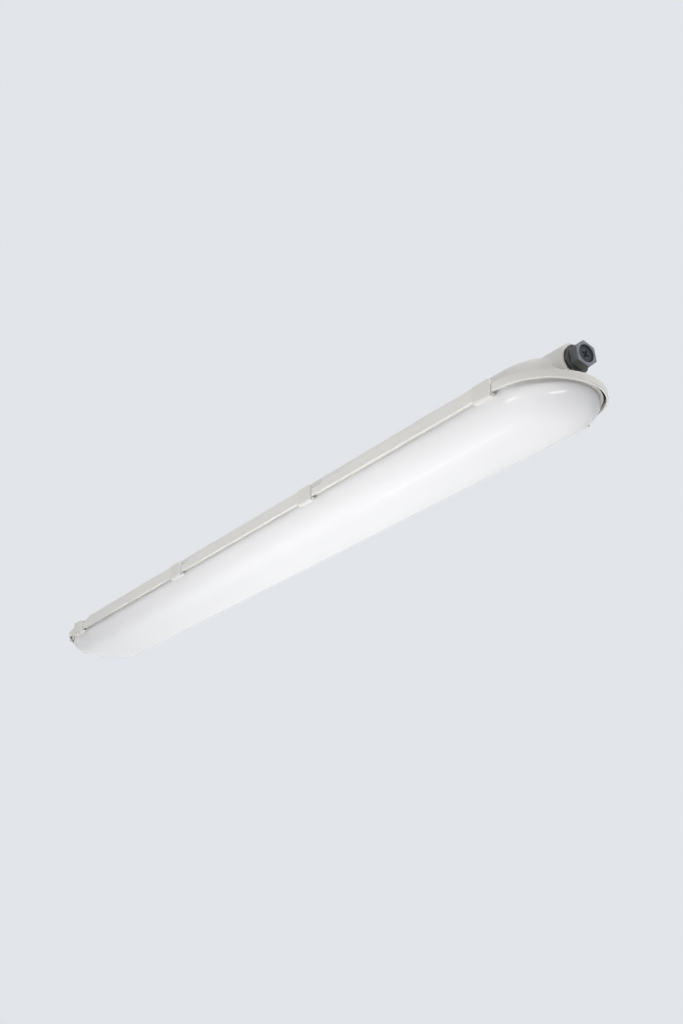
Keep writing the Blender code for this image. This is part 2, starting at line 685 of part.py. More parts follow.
def make_gland(rubber, plastic):
    seal_start = BOSS_END + CLEARANCE
    collar_start = seal_start + SEAL_THICKNESS + CLEARANCE
    cap_start = collar_start + COLLAR_THICKNESS + CLEARANCE
    cap_end = cap_start + CAP_LENGTH
    insert_start = cap_end - INSERT_RECESS - INSERT_THICKNESS

    base, hole = tube(seal_start, SEAL_THICKNESS, SEAL_RADIUS, THREAD_RADIUS + CLEARANCE)
    place("gland_seal", combined("gland_seal", base, (), [hole]), rubber)

    collar, bore = tube(collar_start, COLLAR_THICKNESS, corner_radius(COLLAR_ACROSS_FLATS), GLAND_BORE, 6,
                        COLLAR_TURN)
    shank = bmesh.new()
    add_rod(shank, (collar_start - SHANK_LENGTH, 0, GLAND_HEIGHT), "x", SHANK_LENGTH + COLLAR_THICKNESS / 2,
            THREAD_RADIUS, ROUND_SIDES)
    neck = bmesh.new()
    add_rod(neck, (collar_start + COLLAR_THICKNESS / 2, 0, GLAND_HEIGHT), "x",
            COLLAR_THICKNESS / 2 + NECK_LENGTH - CLEARANCE, NECK_RADIUS, ROUND_SIDES)
    through = bmesh.new()
    add_rod(through, (collar_start - SHANK_LENGTH - OVERRUN, 0, GLAND_HEIGHT), "x",
            SHANK_LENGTH + COLLAR_THICKNESS + NECK_LENGTH + 2 * OVERRUN, GLAND_BORE, ROUND_SIDES)
    bore.free()
    place("gland_body", combined("gland_body", collar, [shank, neck], [through]), plastic)

    nut_start = BOSS_END - BOSS_WALL - CLEARANCE - LOCKNUT_THICKNESS
    base, hole = tube(nut_start, LOCKNUT_THICKNESS, corner_radius(LOCKNUT_ACROSS_FLATS),
                      THREAD_RADIUS + CLEARANCE, 6)
    place("gland_locknut", combined("gland_locknut", base, (), [hole]), plastic)

    base, hole = tube(cap_start, CAP_LENGTH, corner_radius(CAP_ACROSS_FLATS), NECK_RADIUS + CLEARANCE, 6,
                      CAP_TURN)
    front = [edge for edge in base.edges if all(vert.co.x > cap_end - CLEARANCE for vert in edge.verts)]
    bmesh.ops.bevel(base, geom=front, offset=CAP_CHAMFER, segments=1, affect="EDGES")
    axis = (cap_start, 0, level(GLAND_HEIGHT))
    place("gland_cap", recentred(combined("gland_cap", base, (), [hole]), axis), plastic, axis)

    base = bmesh.new()
    add_rod(base, (insert_start, 0, GLAND_HEIGHT), "x", INSERT_THICKNESS, INSERT_RADIUS, ROUND_SIDES)
    place("gland_insert", combined("gland_insert", base, (), [insert_slits(insert_start)]), rubber)


def insert_slits(insert_start):
    """Two crossed grooves in the membrane's front face, as one cutter."""
    front = insert_start + INSERT_THICKNESS
    middle = Vector((front, 0, level(GLAND_HEIGHT)))
    shape = bmesh.new()
    half_length = SLIT_LENGTH / 2
    half_width = SLIT_WIDTH / 2
    reach = [(half_length, half_width), (half_width, half_width), (half_width, half_length)]
    outline = []
    for quarter in range(4):
        spin = Matrix.Rotation(SLIT_TURN + quarter * math.pi / 2, 2)
        outline += [spin @ Vector(point) for point in reach]
    corners = [shape.verts.new(middle + Vector((-SLIT_DEPTH, y, z))) for y, z in outline]
    face = shape.faces.new(corners)
    grown = bmesh.ops.extrude_face_region(shape, geom=[face])
    moved = [item for item in grown["geom"] if isinstance(item, bmesh.types.BMVert)]
    bmesh.ops.translate(shape, verts=moved, vec=(SLIT_DEPTH + OVERRUN, 0, 0))
    return shape


def bracket_mesh():
    """C-shaped bracket with its zero at the middle of its top face."""
    top = BACK_HEIGHT
    inside = RAIL_HALF_WIDTH + CLEARANCE
    outside = inside + BRACKET_THICKNESS
    hook_end = inside - HOOK_GROOVE
    under = top - BRACKET_THICKNESS
    low = top - BRACKET_LEG
    half_section = [(outside, top), (outside, low), (hook_end, low), (hook_end, low + BRACKET_HOOK),
                    (inside, low + BRACKET_HOOK), (inside, under)]
    outline = half_section + [(-y, height) for y, height in reversed(half_section)]
    base = bmesh.new()
    add_prism(base, outline, -BRACKET_LENGTH / 2, BRACKET_LENGTH / 2)
    holes = bmesh.new()
    for x in (-BRACKET_HOLE_SPACING / 2, BRACKET_HOLE_SPACING / 2):
        add_rod(holes, (x, 0, under - OVERRUN), "z", BRACKET_THICKNESS + 2 * OVERRUN, BRACKET_HOLE,
                SMALL_SIDES)
    return combined("bracket", base, (), [holes])


def make_brackets(material):
    mesh = bracket_mesh()
    place("bracket_gland_end", mesh, material, (BRACKET_X, 0, 0))
    place("bracket_far_end", mesh, material, (-BRACKET_X, 0, 0))


def board_screw_places():
    """Three screws along each board, near one edge."""
    first = BOARD_GAP / 2 + BOARD_SCREW_INSET
    last = BOARD_GAP / 2 + BOARD_LENGTH - BOARD_SCREW_INSET
    places = [first, (first + last) / 2, last]
    return [(side * x, BOARD_SCREW_Y) for side in (-1, 1) for x in places]


def driver_screw_places():
    """The driver has one foot at each end, on the side away from its wires."""
    y = DRIVER_WIDTH / 2 - DRIVER_FOOT / 2 - GEAR_SHIFT
    return [(DRIVER_START - DRIVER_FOOT / 2, y), (DRIVER_END + DRIVER_FOOT / 2, y)]


def make_tray(material):
    low = TRAY_HEIGHT
    high = TRAY_TOP + TRAY_FLANGE
    half_section = [(HALF_TRAY, low), (HALF_TRAY, high), (HALF_TRAY - TRAY_SHEET, high),
                    (HALF_TRAY - TRAY_SHEET, TRAY_TOP)]
    outline = half_section + [(-y, height) for y, height in reversed(half_section)]
    base = bmesh.new()
    add_prism(base, outline, -TRAY_LENGTH / 2, TRAY_LENGTH / 2)
    holes = bmesh.new()
    screws = post_places() + board_screw_places() + driver_screw_places() + [(EARTH_X, EARTH_Y)]
    for x, y in screws:
        add_rod(holes, (x, y, low - OVERRUN), "z", TRAY_SHEET + 2 * OVERRUN, SCREW_SHANK + CLEARANCE,
                SMALL_SIDES)
    add_rod(holes, (CONNECTOR_X, -WIRE_HOLE_Y, low - OVERRUN), "z", TRAY_SHEET + 2 * OVERRUN, WIRE_HOLE,
            SMALL_SIDES)
    place("gear_tray", combined("gear_tray", base, (), [holes]), material)


def screw_mesh():
    """Pan-head screw with its zero where the head bears, pointing up."""
    base = bmesh.new()
    bmesh.ops.create_cone(
        base, cap_ends=True, segments=SMALL_SIDES, radius1=SCREW_HEAD - SCREW_HEAD_CHAMFER,
        radius2=SCREW_HEAD, depth=SCREW_HEAD_HEIGHT,
        matrix=Matrix.Translation((0, 0, -SCREW_HEAD_HEIGHT / 2)))
    shank = bmesh.new()
    length = SCREW_LENGTH + SCREW_HEAD_HEIGHT / 2
    middle = length / 2 - SCREW_HEAD_HEIGHT / 2
    bmesh.ops.create_cone(
        shank, cap_ends=True, segments=SMALL_SIDES, radius1=SCREW_SHANK, radius2=SCREW_SHANK,
        depth=length, matrix=Matrix.Translation((0, 0, middle)))
    return combined("screw", base, [shank])


def make_screws(name, places, bearing, upwards, material):
    """One screw at each place, whose head bears at a height, with its shank running up or down."""
    mesh = screw_mesh()
    if not upwards:
        mesh.transform(Matrix.Rotation(math.pi, 4, "X"))
    gap = -CLEARANCE if upwards else CLEARANCE
    for number, (x, y) in enumerate(places, start=1):
        full_name = name if len(places) == 1 else f"{name}_{number}"
        place(full_name, mesh, material, (x, y, level(bearing + gap)))


def make_boards(board, plastic):
    half = BOARD_WIDTH / 2
    for number, side in ((1, 1), (2, -1)):
        ends = sorted((side * BOARD_GAP / 2, side * (BOARD_GAP / 2 + BOARD_LENGTH)))
        base = bmesh.new()
        add_box(base, (ends[0], -half, BOARD_BOTTOM), (ends[1], half, BOARD_TOP))
        holes = bmesh.new()
        for x, y in board_screw_places():
            if x * side > 0:
                add_rod(holes, (x, y, BOARD_BOTTOM - OVERRUN), "z", BOARD_THICKNESS + 2 * OVERRUN,
                        SCREW_SHANK + CLEARANCE, SMALL_SIDES)
        chips = bmesh.new()
        pitch = BOARD_LENGTH / CHIP_COUNT
        for index in range(CHIP_COUNT):
            x = ends[0] + pitch * (index + 1 / 2)
            add_box(chips, (x - CHIP_SIZE / 2, -CHIP_SIZE / 2, BOARD_BOTTOM - CHIP_HEIGHT),
                    (x + CHIP_SIZE / 2, CHIP_SIZE / 2, BOARD_BOTTOM + CHIP_HEIGHT))
        place(f"led_board_{number}", combined("led_board", base, [chips], [holes]), board)
    link = bmesh.new()
    under = BOARD_BOTTOM - CLEARANCE
    add_box(link, (-LINK_LENGTH / 2, -LINK_WIDTH / 2, under - LINK_HEIGHT),
            (LINK_LENGTH / 2, LINK_WIDTH / 2, under))
    place("board_link", finish_mesh(link, "board_link"), plastic)
    connector = bmesh.new()
    add_box(connector, (CONNECTOR_X - CONNECTOR_LENGTH / 2, -half, under - LINK_HEIGHT),
            (CONNECTOR_X + CONNECTOR_LENGTH / 2, CONNECTOR_WIDTH - half, under))
    place("board_connector", finish_mesh(connector, "board_connector"), plastic)


def make_driver(material):
    front = -GEAR_SHIFT - DRIVER_WIDTH / 2
    back = -GEAR_SHIFT + DRIVER_WIDTH / 2
    base = bmesh.new()
    add_box(base, (DRIVER_START, front, ON_TRAY), (DRIVER_END, back, ON_TRAY + DRIVER_HEIGHT))
    upright = [edge for edge in base.edges
               if abs(edge.verts[0].co.z - edge.verts[1].co.z) > DRIVER_HEIGHT / 2]
    bmesh.ops.bevel(base, geom=upright, offset=DRIVER_BEVEL, segments=1, affect="EDGES")
    feet = bmesh.new()
    holes = bmesh.new()
    for x, y in driver_screw_places():
        add_box(feet, (x - DRIVER_FOOT, y - DRIVER_FOOT / 2, ON_TRAY),
                (x + DRIVER_FOOT, y + DRIVER_FOOT / 2, ON_TRAY + DRIVER_FOOT_THICKNESS))
        add_rod(holes, (x, y, TRAY_TOP - OVERRUN), "z", DRIVER_FOOT_THICKNESS + 2 * OVERRUN,
                SCREW_SHANK + CLEARANCE, SMALL_SIDES)
    place("driver_case", combined("driver_case", base, [feet], [holes]), material)


def terminal_ways():
    return [-GEAR_SHIFT + way * TERMINAL_PITCH for way in (-1, 0, 1)]


def make_terminals(plastic, metal):
    x_low = TERMINAL_X - TERMINAL_LENGTH / 2
    x_high = TERMINAL_X + TERMINAL_LENGTH / 2
    front = -GEAR_SHIFT - TERMINAL_WIDTH / 2
    back = -GEAR_SHIFT + TERMINAL_WIDTH / 2
    top = ON_TRAY + TERMINAL_HEIGHT
    base = bmesh.new()
    add_box(base, (x_low, front, ON_TRAY), (x_high, back, top))
    entries = bmesh.new()
    wells = bmesh.new()
    for number, y in enumerate(terminal_ways(), start=1):
        height = ON_TRAY + TERMINAL_ENTRY_HEIGHT
        add_rod(entries, (x_high - TERMINAL_ENTRY_DEPTH, y, height), "x", TERMINAL_ENTRY_DEPTH + OVERRUN,
                TERMINAL_ENTRY, SMALL_SIDES)
        well = top - TERMINAL_SCREW_HEIGHT
        add_rod(wells, (TERMINAL_X, y, well), "z", TERMINAL_SCREW_HEIGHT + OVERRUN,
                TERMINAL_SCREW + CLEARANCE, SMALL_SIDES)
        screw = bmesh.new()
        add_rod(screw, (TERMINAL_X, y, well + CLEARANCE), "z", TERMINAL_SCREW_HEIGHT - 2 * CLEARANCE,
                TERMINAL_SCREW, SMALL_SIDES)
        place(f"terminal_screw_{number}", finish_mesh(screw, "terminal_screw"), metal)
    place("terminal_block", combined("terminal_block", base, (), [entries, wells]), plastic)


def make_wire(name, route, radius, material):
    """Wire along a smooth curve through the points of its route, given as (x, y, height)."""
    knots = [Vector((x, y, level(height))) for x, y, height in route]
    before = [knots[0]] + knots[:-1]
    after = knots[1:] + [knots[-1]]
    points = [knots[0]]
    for index in range(len(knots) - 1):
        tangent_in = (after[index] - before[index]) / 2
        tangent_out = (after[index + 1] - before[index + 1]) / 2
        span = (knots[index + 1] - knots[index]).length
        steps = max(2, round(span / (5 * radius)))
        for step in range(1, steps + 1):
            t = step / steps
            points.append(
                knots[index] * (2 * t ** 3 - 3 * t ** 2 + 1) + tangent_in * (t ** 3 - 2 * t ** 2 + t)
                + knots[index + 1] * (3 * t ** 2 - 2 * t ** 3) + tangent_out * (t ** 3 - t ** 2))
    curve = bpy.data.curves.new(name, "CURVE")
    curve.dimensions = "3D"
    curve.bevel_depth = radius
    curve.bevel_resolution = 2
    curve.use_fill_caps = True
    spline = curve.splines.new("POLY")
    spline.points.add(len(points) - 1)
    for target, point in zip(spline.points, points):
        target.co = (*point, 1.0)
    curve.materials.append(material)
    PARTS.objects.link(bpy.data.objects.new(name, curve))


def make_supply_wires(brown, blue, green):
    """Wires from the terminal block to the driver and to the tray's earth screw."""
    block = TERMINAL_X - TERMINAL_LENGTH / 2 - CLEARANCE
    driver = DRIVER_END + CLEARANCE
    height = ON_TRAY + TERMINAL_ENTRY_HEIGHT
    middle = (block + driver) / 2
    neutral_way, live_way, earth_way = terminal_ways()
    for name, y, material in (("supply_wire_live", live_way, brown),
                              ("supply_wire_neutral", neutral_way, blue)):
        end = (driver, (y - GEAR_SHIFT) / 2, height)
        route = [(block, y, height), (middle, (y + end[1]) / 2, height + WIRE_SAG), end]
        make_wire(name, route, SUPPLY_WIRE, material)
    screw_side = EARTH_Y - SCREW_HEAD - CLEARANCE
    rest = ON_TRAY + SUPPLY_WIRE
    make_wire("earth_wire", [
        (block, earth_way, height),
        (block - 2 * WIRE_SAG, earth_way + 2 * SUPPLY_WIRE, height),
        ((block + EARTH_X) / 2, (earth_way + screw_side) / 2, (height + rest) / 2),
        (EARTH_X, screw_side - 2 * WIRE_SAG, rest),
        (EARTH_X, screw_side, rest),
    ], SUPPLY_WIRE, green)


def make_board_wires(red, black):
    """Two wires from the driver, through a hole in the tray, to the plug on the board."""
    height = ON_TRAY + TERMINAL_ENTRY_HEIGHT
    board_edge = -BOARD_WIDTH / 2 - CLEARANCE
    plug_height = BOARD_BOTTOM - CLEARANCE - LINK_HEIGHT / 2
    start = DRIVER_START - CLEARANCE
    for name, way, material in (("led_wire_plus", 1, red), ("led_wire_minus", -1, black)):
        x = CONNECTOR_X + way * LED_WIRE_PITCH / 2
        y = way * LED_WIRE_PITCH / 2 - GEAR_SHIFT
        hole = way * LED_WIRE_PITCH / 2 - WIRE_HOLE_Y
        make_wire(name, [
            (start, y, height),
            ((start + x) / 2, y, height + WIRE_SAG / 2),
            (x, hole, TRAY_TOP + WIRE_SAG),
            (x, hole, TRAY_HEIGHT - LED_WIRE),
            (x, (board_edge + hole) / 2, plug_height),
            (x, board_edge, plug_height),
        ], LED_WIRE, material)


clear_scene()
PARTS = new_collection("vapor_tight_light_fixture")

GREY_PLASTIC = new_material("light grey polycarbonate", (0.66, 0.65, 0.62), 0.42)
OPAL_PLASTIC = new_material("opal polycarbonate", (0.88, 0.88, 0.88), 0.22)
BLACK_RUBBER = new_material("black rubber", (0.012, 0.012, 0.013), 0.65)
DARK_PLASTIC = new_material("dark grey polyamide", (0.045, 0.052, 0.060), 0.42)
STEEL = new_material("stainless steel", (0.62, 0.62, 0.60), 0.28, 1.0)
WHITE_STEEL = new_material("white painted steel", (0.84, 0.84, 0.82), 0.35)
WHITE_BOARD = new_material("white solder mask", (0.82, 0.83, 0.82), 0.45)
WHITE_PLASTIC = new_material("white plug plastic", (0.80, 0.80, 0.78), 0.5)
BROWN_WIRE = new_material("brown insulation", (0.16, 0.07, 0.03), 0.5)
BLUE_WIRE = new_material("blue insulation", (0.05, 0.16, 0.45), 0.5)
GREEN_WIRE = new_material("green insulation", (0.10, 0.38, 0.08), 0.5)
RED_WIRE = new_material("red insulation", (0.50, 0.03, 0.02), 0.5)
BLACK_WIRE = new_material("black insulation", (0.02, 0.02, 0.02), 0.5)

make_housing(GREY_PLASTIC)
make_diffuser(OPAL_PLASTIC)
make_gasket(BLACK_RUBBER)
make_clips(GREY_PLASTIC)
make_gland(BLACK_RUBBER, DARK_PLASTIC)
make_brackets(STEEL)
make_tray(WHITE_STEEL)
make_boards(WHITE_BOARD, WHITE_PLASTIC)
make_driver(WHITE_PLASTIC)
make_terminals(WHITE_PLASTIC, STEEL)
make_supply_wires(BROWN_WIRE, BLUE_WIRE, GREEN_WIRE)
make_board_wires(RED_WIRE, BLACK_WIRE)
make_screws("tray_screw", post_places(), TRAY_HEIGHT, True, STEEL)
make_screws("board_screw", board_screw_places(), BOARD_BOTTOM, True, STEEL)
make_screws("driver_screw", driver_screw_places(), ON_TRAY + DRIVER_FOOT_THICKNESS, False, STEEL)
make_screws("earth_screw", [(EARTH_X, EARTH_Y)], TRAY_TOP, False, STEEL)
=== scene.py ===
"""Looks of the vapor tight light fixture: finer shapes, materials, floor, light and camera.

Metres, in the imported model's frame. The origin is on the ceiling plane, in the middle of the housing's
back. X runs towards the gland and the front is the -Y side. Heights are measured up from the rim's lower
edge and go through level() to become Z.
"""
import math
from collections import namedtuple

import bmesh
import bpy
from mathutils import Matrix, Vector


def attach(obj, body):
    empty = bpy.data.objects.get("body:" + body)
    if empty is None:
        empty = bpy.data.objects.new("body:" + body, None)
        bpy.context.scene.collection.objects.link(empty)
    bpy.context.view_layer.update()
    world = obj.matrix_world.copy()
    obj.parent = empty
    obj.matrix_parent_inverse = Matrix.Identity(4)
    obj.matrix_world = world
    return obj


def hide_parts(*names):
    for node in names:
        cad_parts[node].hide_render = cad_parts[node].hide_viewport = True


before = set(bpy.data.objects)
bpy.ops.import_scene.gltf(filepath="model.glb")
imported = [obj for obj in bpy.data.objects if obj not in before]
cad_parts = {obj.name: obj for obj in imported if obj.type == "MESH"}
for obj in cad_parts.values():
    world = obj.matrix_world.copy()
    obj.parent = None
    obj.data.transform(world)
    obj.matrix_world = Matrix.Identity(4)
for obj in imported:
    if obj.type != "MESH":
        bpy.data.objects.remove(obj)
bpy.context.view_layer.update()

# Sizes repeated from the part
LENGTH = 1.171
RIM_WIDTH = 0.130
BACK_HEIGHT = 0.049
CLEARANCE = 0.0003
OVERRUN = 0.002

# Housing. Insets are measured in from the rim's sides, and end insets from its two ends. A nose is the
# length of the arc at either end.
RIM_HEIGHT = 0.009
LIP_THICKNESS = 0.0020
SIDE_WALL_HEIGHT = 0.0150
SIDE_WALL_DEPTH = 0.0108
SIDE_WALL_CHAMFER = 0.0055
TUB_BASE_INSET = 0.0075
TUB_BASE_END_INSET = 0.008
TUB_WALL_INSET = 0.011
TUB_WALL_END_INSET = 0.0195
TUB_WALL_HEIGHT = 0.018
TUB_SLOPE_INSET = 0.0215
TUB_SLOPE_END_INSET = 0.027
TUB_SLOPE_HEIGHT = 0.031
SHOULDER_INSET = 0.035
SHOULDER_END_INSET = 0.0375
SHOULDER_HEIGHT = 0.0421
SHOULDER_NOSE = 0.0573
RAIL_HALF_WIDTH = 0.0195
RAIL_END_INSET = 0.0655
WALL = 0.0026
BACK_WALL = 0.0038
RAIL_WALL = 0.005
CHANNEL_ROOF = 0.0018
CHANNEL_WIDTH = 0.0064
CHANNEL_RIB = 0.0014
CHANNEL_RIB_DROP = 0.0023

# Diffuser and gasket
DIFFUSER_GAP = 0.0055
DIFFUSER_END_GAP = 0.0069
DIFFUSER_WALL = 0.002
DIFFUSER_DEPTH = 0.026
FLANGE_WIDTH = 0.0037
FLANGE_THICKNESS = 0.0018
GASKET_THICKNESS = 0.0022

# Shape of the bowl: the powers of its curve across and down, how much further its ends draw in than its
# sides, and how square its ends get at the crown
BOWL_CROWN_SHARE = 4.52
BOWL_CORNER_SHARE = 1.3
BOWL_END_SHARE = 1.81
BOWL_SQUARE_SHARE = 0.8

# Clips and their hinges
CLIPS_PER_SIDE = 4
CLIP_SPACING = 0.3328
CLIP_ROW_OFFSET = 0.0038
CLIP_WIDTH = 0.027
CLIP_PLATE = 0.0022
CLIP_TOP = 0.0146
CLIP_BOTTOM = 0.0053
CLIP_TOE_RISE = 0.0007
CLIP_FOOT_DROP = 0.0006
CLIP_FOOT_REACH = 0.0038
CLIP_FOOT_ROUND = 0.0012
CLIP_CORNER = 0.0030
CLIP_HOLE = 0.0012
CLIP_HOLE_INSET = 0.0024
CLIP_HOLE_HEIGHT = 0.0020
CLIP_HOLE_DEPTH = 0.0015
CLIP_TIP_WIDTH = 0.018
CLIP_TIP_THICKNESS = 0.0019
HINGE_INSET = 0.0026
HINGE_HEIGHT = 0.0118
HINGE_BARREL = 0.0019
HINGE_BARREL_WIDTH = 0.014
HINGE_PIN = 0.00115
HINGE_LUG = 0.003
HINGE_LUG_TOP = 0.0023
HINGE_LUG_FRONT = 0.0023
HINGE_LUG_CHAMFER = 0.0016
POCKET_EXTRA = 0.0213
NOTCH_HEIGHT = 0.0036

# Boss and cable gland
GLAND_HEIGHT = 0.0303
BOSS_RADIUS = 0.0185
BOSS_END_INSET = 0.0161
BOSS_WALL = 0.004
BOSS_BORE = 0.0150
BOSS_ROOT = 0.058
THREAD_RADIUS = 0.010
GLAND_BORE = 0.0055
SEAL_RADIUS = 0.0148
SEAL_THICKNESS = 0.0020
COLLAR_ACROSS_FLATS = 0.0278
COLLAR_THICKNESS = 0.0032
COLLAR_TURN = math.radians(13)
SHANK_LENGTH = 0.0125
NECK_RADIUS = 0.0092
NECK_LENGTH = 0.0060
CAP_ACROSS_FLATS = 0.0253
CAP_LENGTH = 0.0115
CAP_TURN = math.radians(39.8)
INSERT_RADIUS = 0.0092
INSERT_THICKNESS = 0.0030
INSERT_RECESS = 0.0020
SLIT_LENGTH = 0.0085
SLIT_WIDTH = 0.0019
SLIT_DEPTH = 0.0022
SLIT_TURN = math.radians(65)

# Brackets, and the posts for the gear tray
BRACKET_X = 0.350
BRACKET_LENGTH = 0.040
BRACKET_THICKNESS = 0.0015
BRACKET_TRAVEL = 0.015
BRACKET_LEG = 0.006
BRACKET_HOOK = 0.0012
HOOK_GROOVE = 0.0016
TRAY_TOP = 0.011
POST_X = 0.440
POST_Y = 0.030
POST_RADIUS = 0.0036
POST_BORE_DEPTH = 0.010
POST_TOP_DROP = 0.004
SCREW_SHANK = 0.0014

# Fineness. The bowl's steps shorten towards its crown, and the last part of one stays as its flat middle.
ARC_STEPS = 56
BOWL_STEPS = 30
BOWL_LAST_STEP = 0.35
BOWL_STEP_POWER = 1.5
ROUND_SIDES = 96
SMALL_SIDES = 32
FILLET_STEPS = 4
FILLET_LIMIT = 0.48
CORNER_STEPS = 8
SMOOTH_ANGLE = math.radians(38)
CAP_SMOOTH_ANGLE = math.radians(28)
SHARP_ANGLE = math.radians(30)
ROUND_PROFILE = 0.5

# Rounded edges
EDGE_ROUND = 0.0005
WALL_ROUND = 0.0008
BOSS_ROUND = 0.0012
CLIP_END_ROUND = 0.0004
GASKET_ROUND = 0.0009
MEMBRANE_ROUND = 0.0006

# Fillets of the housing's section, from the back round the rim to the ceiling
BACK_EDGE_INSET = 0.0010
BACK_EDGE_FILLET = 0.0009
RAIL_FOOT_FILLET = 0.0015
SHOULDER_FILLET = 0.0040
SLOPE_FILLET = 0.0050
TUB_WALL_FILLET = 0.0040
TUB_BASE_FILLET = 0.0012
RIM_TOP_FILLET = 0.0010
RIM_EDGE_FILLET = 0.0009
LIP_FILLET = 0.0006
CHANNEL_FILLET = 0.0003
INNER_FILLET = 0.0030
CEILING_FILLET = 0.0020
HOLLOW_FILLET = 0.0010

# Shape of the gland's hexagons. Corners are cut back to a share of their full radius.
COLLAR_CORNER_BACK = 0.97
COLLAR_CORNER = 0.985
COLLAR_CORNER_FRONT = 0.95
CAP_CORNER_BACK = 0.965
CAP_CORNER = 0.99
CAP_CORNER_CHAMFER = 0.975
CAP_CORNER_FRONT = 0.96
CAP_CHAMFER = 0.0009
CAP_FRONT_NARROWING = 2.2 * CAP_CHAMFER
CAP_BACK_NARROWING = 0.0008
CAP_BACK_CHAMFER = 0.0006
CAP_BORE_CHAMFER = 0.0006
COLLAR_RIBS = 48
COLLAR_RIB_DEPTH = 0.0005

# Worked out from the sizes above
HALF_LENGTH = LENGTH / 2
RIM_RADIUS = RIM_WIDTH / 2
CHANNEL_HEIGHT = RIM_HEIGHT - CHANNEL_ROOF
GASKET_TOP = CHANNEL_HEIGHT - CLEARANCE
FLANGE_TOP = GASKET_TOP - GASKET_THICKNESS - CLEARANCE
FLANGE_BOTTOM = FLANGE_TOP - FLANGE_THICKNESS
BOWL_HALF_WIDTH = RIM_RADIUS - LIP_THICKNESS - DIFFUSER_GAP
BOWL_END = HALF_LENGTH - LIP_THICKNESS - DIFFUSER_END_GAP
HINGE_Y = RIM_RADIUS - HINGE_INSET
PLATE_BACK = RIM_RADIUS + CLEARANCE
FOOT_END = RIM_RADIUS - LIP_THICKNESS - CLIP_FOOT_REACH
LUG_BOTTOM = RIM_HEIGHT - CHANNEL_ROOF / 2
BOSS_END = HALF_LENGTH - BOSS_END_INSET
SEAL_START = BOSS_END + CLEARANCE
SEAL_END = SEAL_START + SEAL_THICKNESS
COLLAR_START = SEAL_END + CLEARANCE
COLLAR_END = COLLAR_START + COLLAR_THICKNESS
CAP_START = COLLAR_END + CLEARANCE
CAP_END = CAP_START + CAP_LENGTH

# The outline at one height: half its width, how far it reaches along X, how much of that its end arcs
# take up, its height above the rim's lower edge, and how square its ends are.
Level = namedtuple("Level", "half_width end nose height squareness", defaults=(0,))


def level(height):
    """Z of a height above the rim's lower edge."""
    return height - BACK_HEIGHT


# Shapes

def add_box(shape, low, high):
    """Adds a box between two corners, given as (x, y, height)."""
    size = [b - a for a, b in zip(low, high)]
    middle = [(a + b) / 2 for a, b in zip(low, high)]
    middle[2] = level(middle[2])
    matrix = Matrix.Translation(middle) @ Matrix.Diagonal((*size, 1.0))
    bmesh.ops.create_cube(shape, size=1.0, matrix=matrix)


def add_rod(shape, start, axis, length, radius, sides):
    """Adds a rod that runs along X or Z from a starting point, given as (x, y, height)."""
    place = Matrix.Translation((start[0], start[1], level(start[2])))
    tilt = Matrix.Rotation(math.radians(90), 4, "Y") if axis == "x" else Matrix.Identity(4)
    shift = Matrix.Translation((0, 0, length / 2))
    bmesh.ops.create_cone(shape, cap_ends=True, segments=sides, radius1=radius, radius2=radius,
                          depth=length, matrix=place @ tilt @ shift)


def extrude(shape, points, shift):
    """Adds the solid that a flat outline of points sweeps when it is shifted."""
    corners = [shape.verts.new(point) for point in points]
    grown = bmesh.ops.extrude_face_region(shape, geom=[shape.faces.new(corners)])
    moved = [item for item in grown["geom"] if isinstance(item, bmesh.types.BMVert)]
    bmesh.ops.translate(shape, verts=moved, vec=shift)


def add_prism(shape, outline, x_start, x_end):
    """Adds an outline of (y, height) points, extruded along X."""
    extrude(shape, [(x_start, y, level(height)) for y, height in outline], (x_end - x_start, 0, 0))


def add_side_prism(shape, outline, y_start, y_end):
    """Adds an outline of (x, height) points, extruded along Y."""
    extrude(shape, [(x, y_start, level(height)) for x, height in outline], (0, y_end - y_start, 0))


def round_edges(shape, edges, width, steps):
    """Rounds some of a shape's edges."""
    bmesh.ops.bevel(shape, geom=edges, offset=width, offset_type="OFFSET", segments=steps,
                    profile=ROUND_PROFILE, affect="EDGES", clamp_overlap=True)
    return shape


def soften(shape, width, steps=3):
    """Rounds the sharp edges of a shape."""
    bmesh.ops.recalc_face_normals(shape, faces=shape.faces)
    sharp = [edge for edge in shape.edges if edge.is_manifold and edge.calc_face_angle(0) > SHARP_ANGLE]
    return round_edges(shape, sharp, width, steps)


def outline_points(item):
    """Points round a level: an arc at either end, joined by the straight sides."""
    points = []
    power = 2 / (2 + item.squareness)
    for end in (1, -1):
        for step in range(ARC_STEPS + 1):
            angle = math.pi * (step / ARC_STEPS - 1 / 2)
            x = item.end - item.nose + item.nose * max(math.cos(angle), 0) ** power
            y = item.half_width * math.copysign(abs(math.sin(angle)) ** power, angle)
            points.append((end * x, end * y, level(item.height)))
    return points


def loft(levels, closed_ring=False):
    """Skin over the outlines of several levels. It has end faces, or else returns to its first level."""
    shape = bmesh.new()
    rings = [[shape.verts.new(point) for point in outline_points(item)] for item in levels]
    pairs = list(zip(rings, rings[1:]))
    if closed_ring:
        pairs.append((rings[-1], rings[0]))
    else:
        shape.faces.new(rings[0])
        shape.faces.new(rings[-1])
    for ring, following in pairs:
        for index in range(len(ring)):
            after = (index + 1) % len(ring)
            shape.faces.new((ring[index], ring[after], following[after], following[index]))
    return shape


def distance(a, b):
    """Length of the section's side between two levels, across or along, whichever is longer."""
    return max(math.hypot(a.half_width - b.half_width, a.height - b.height),
               math.hypot(a.end - b.end, a.height - b.height))


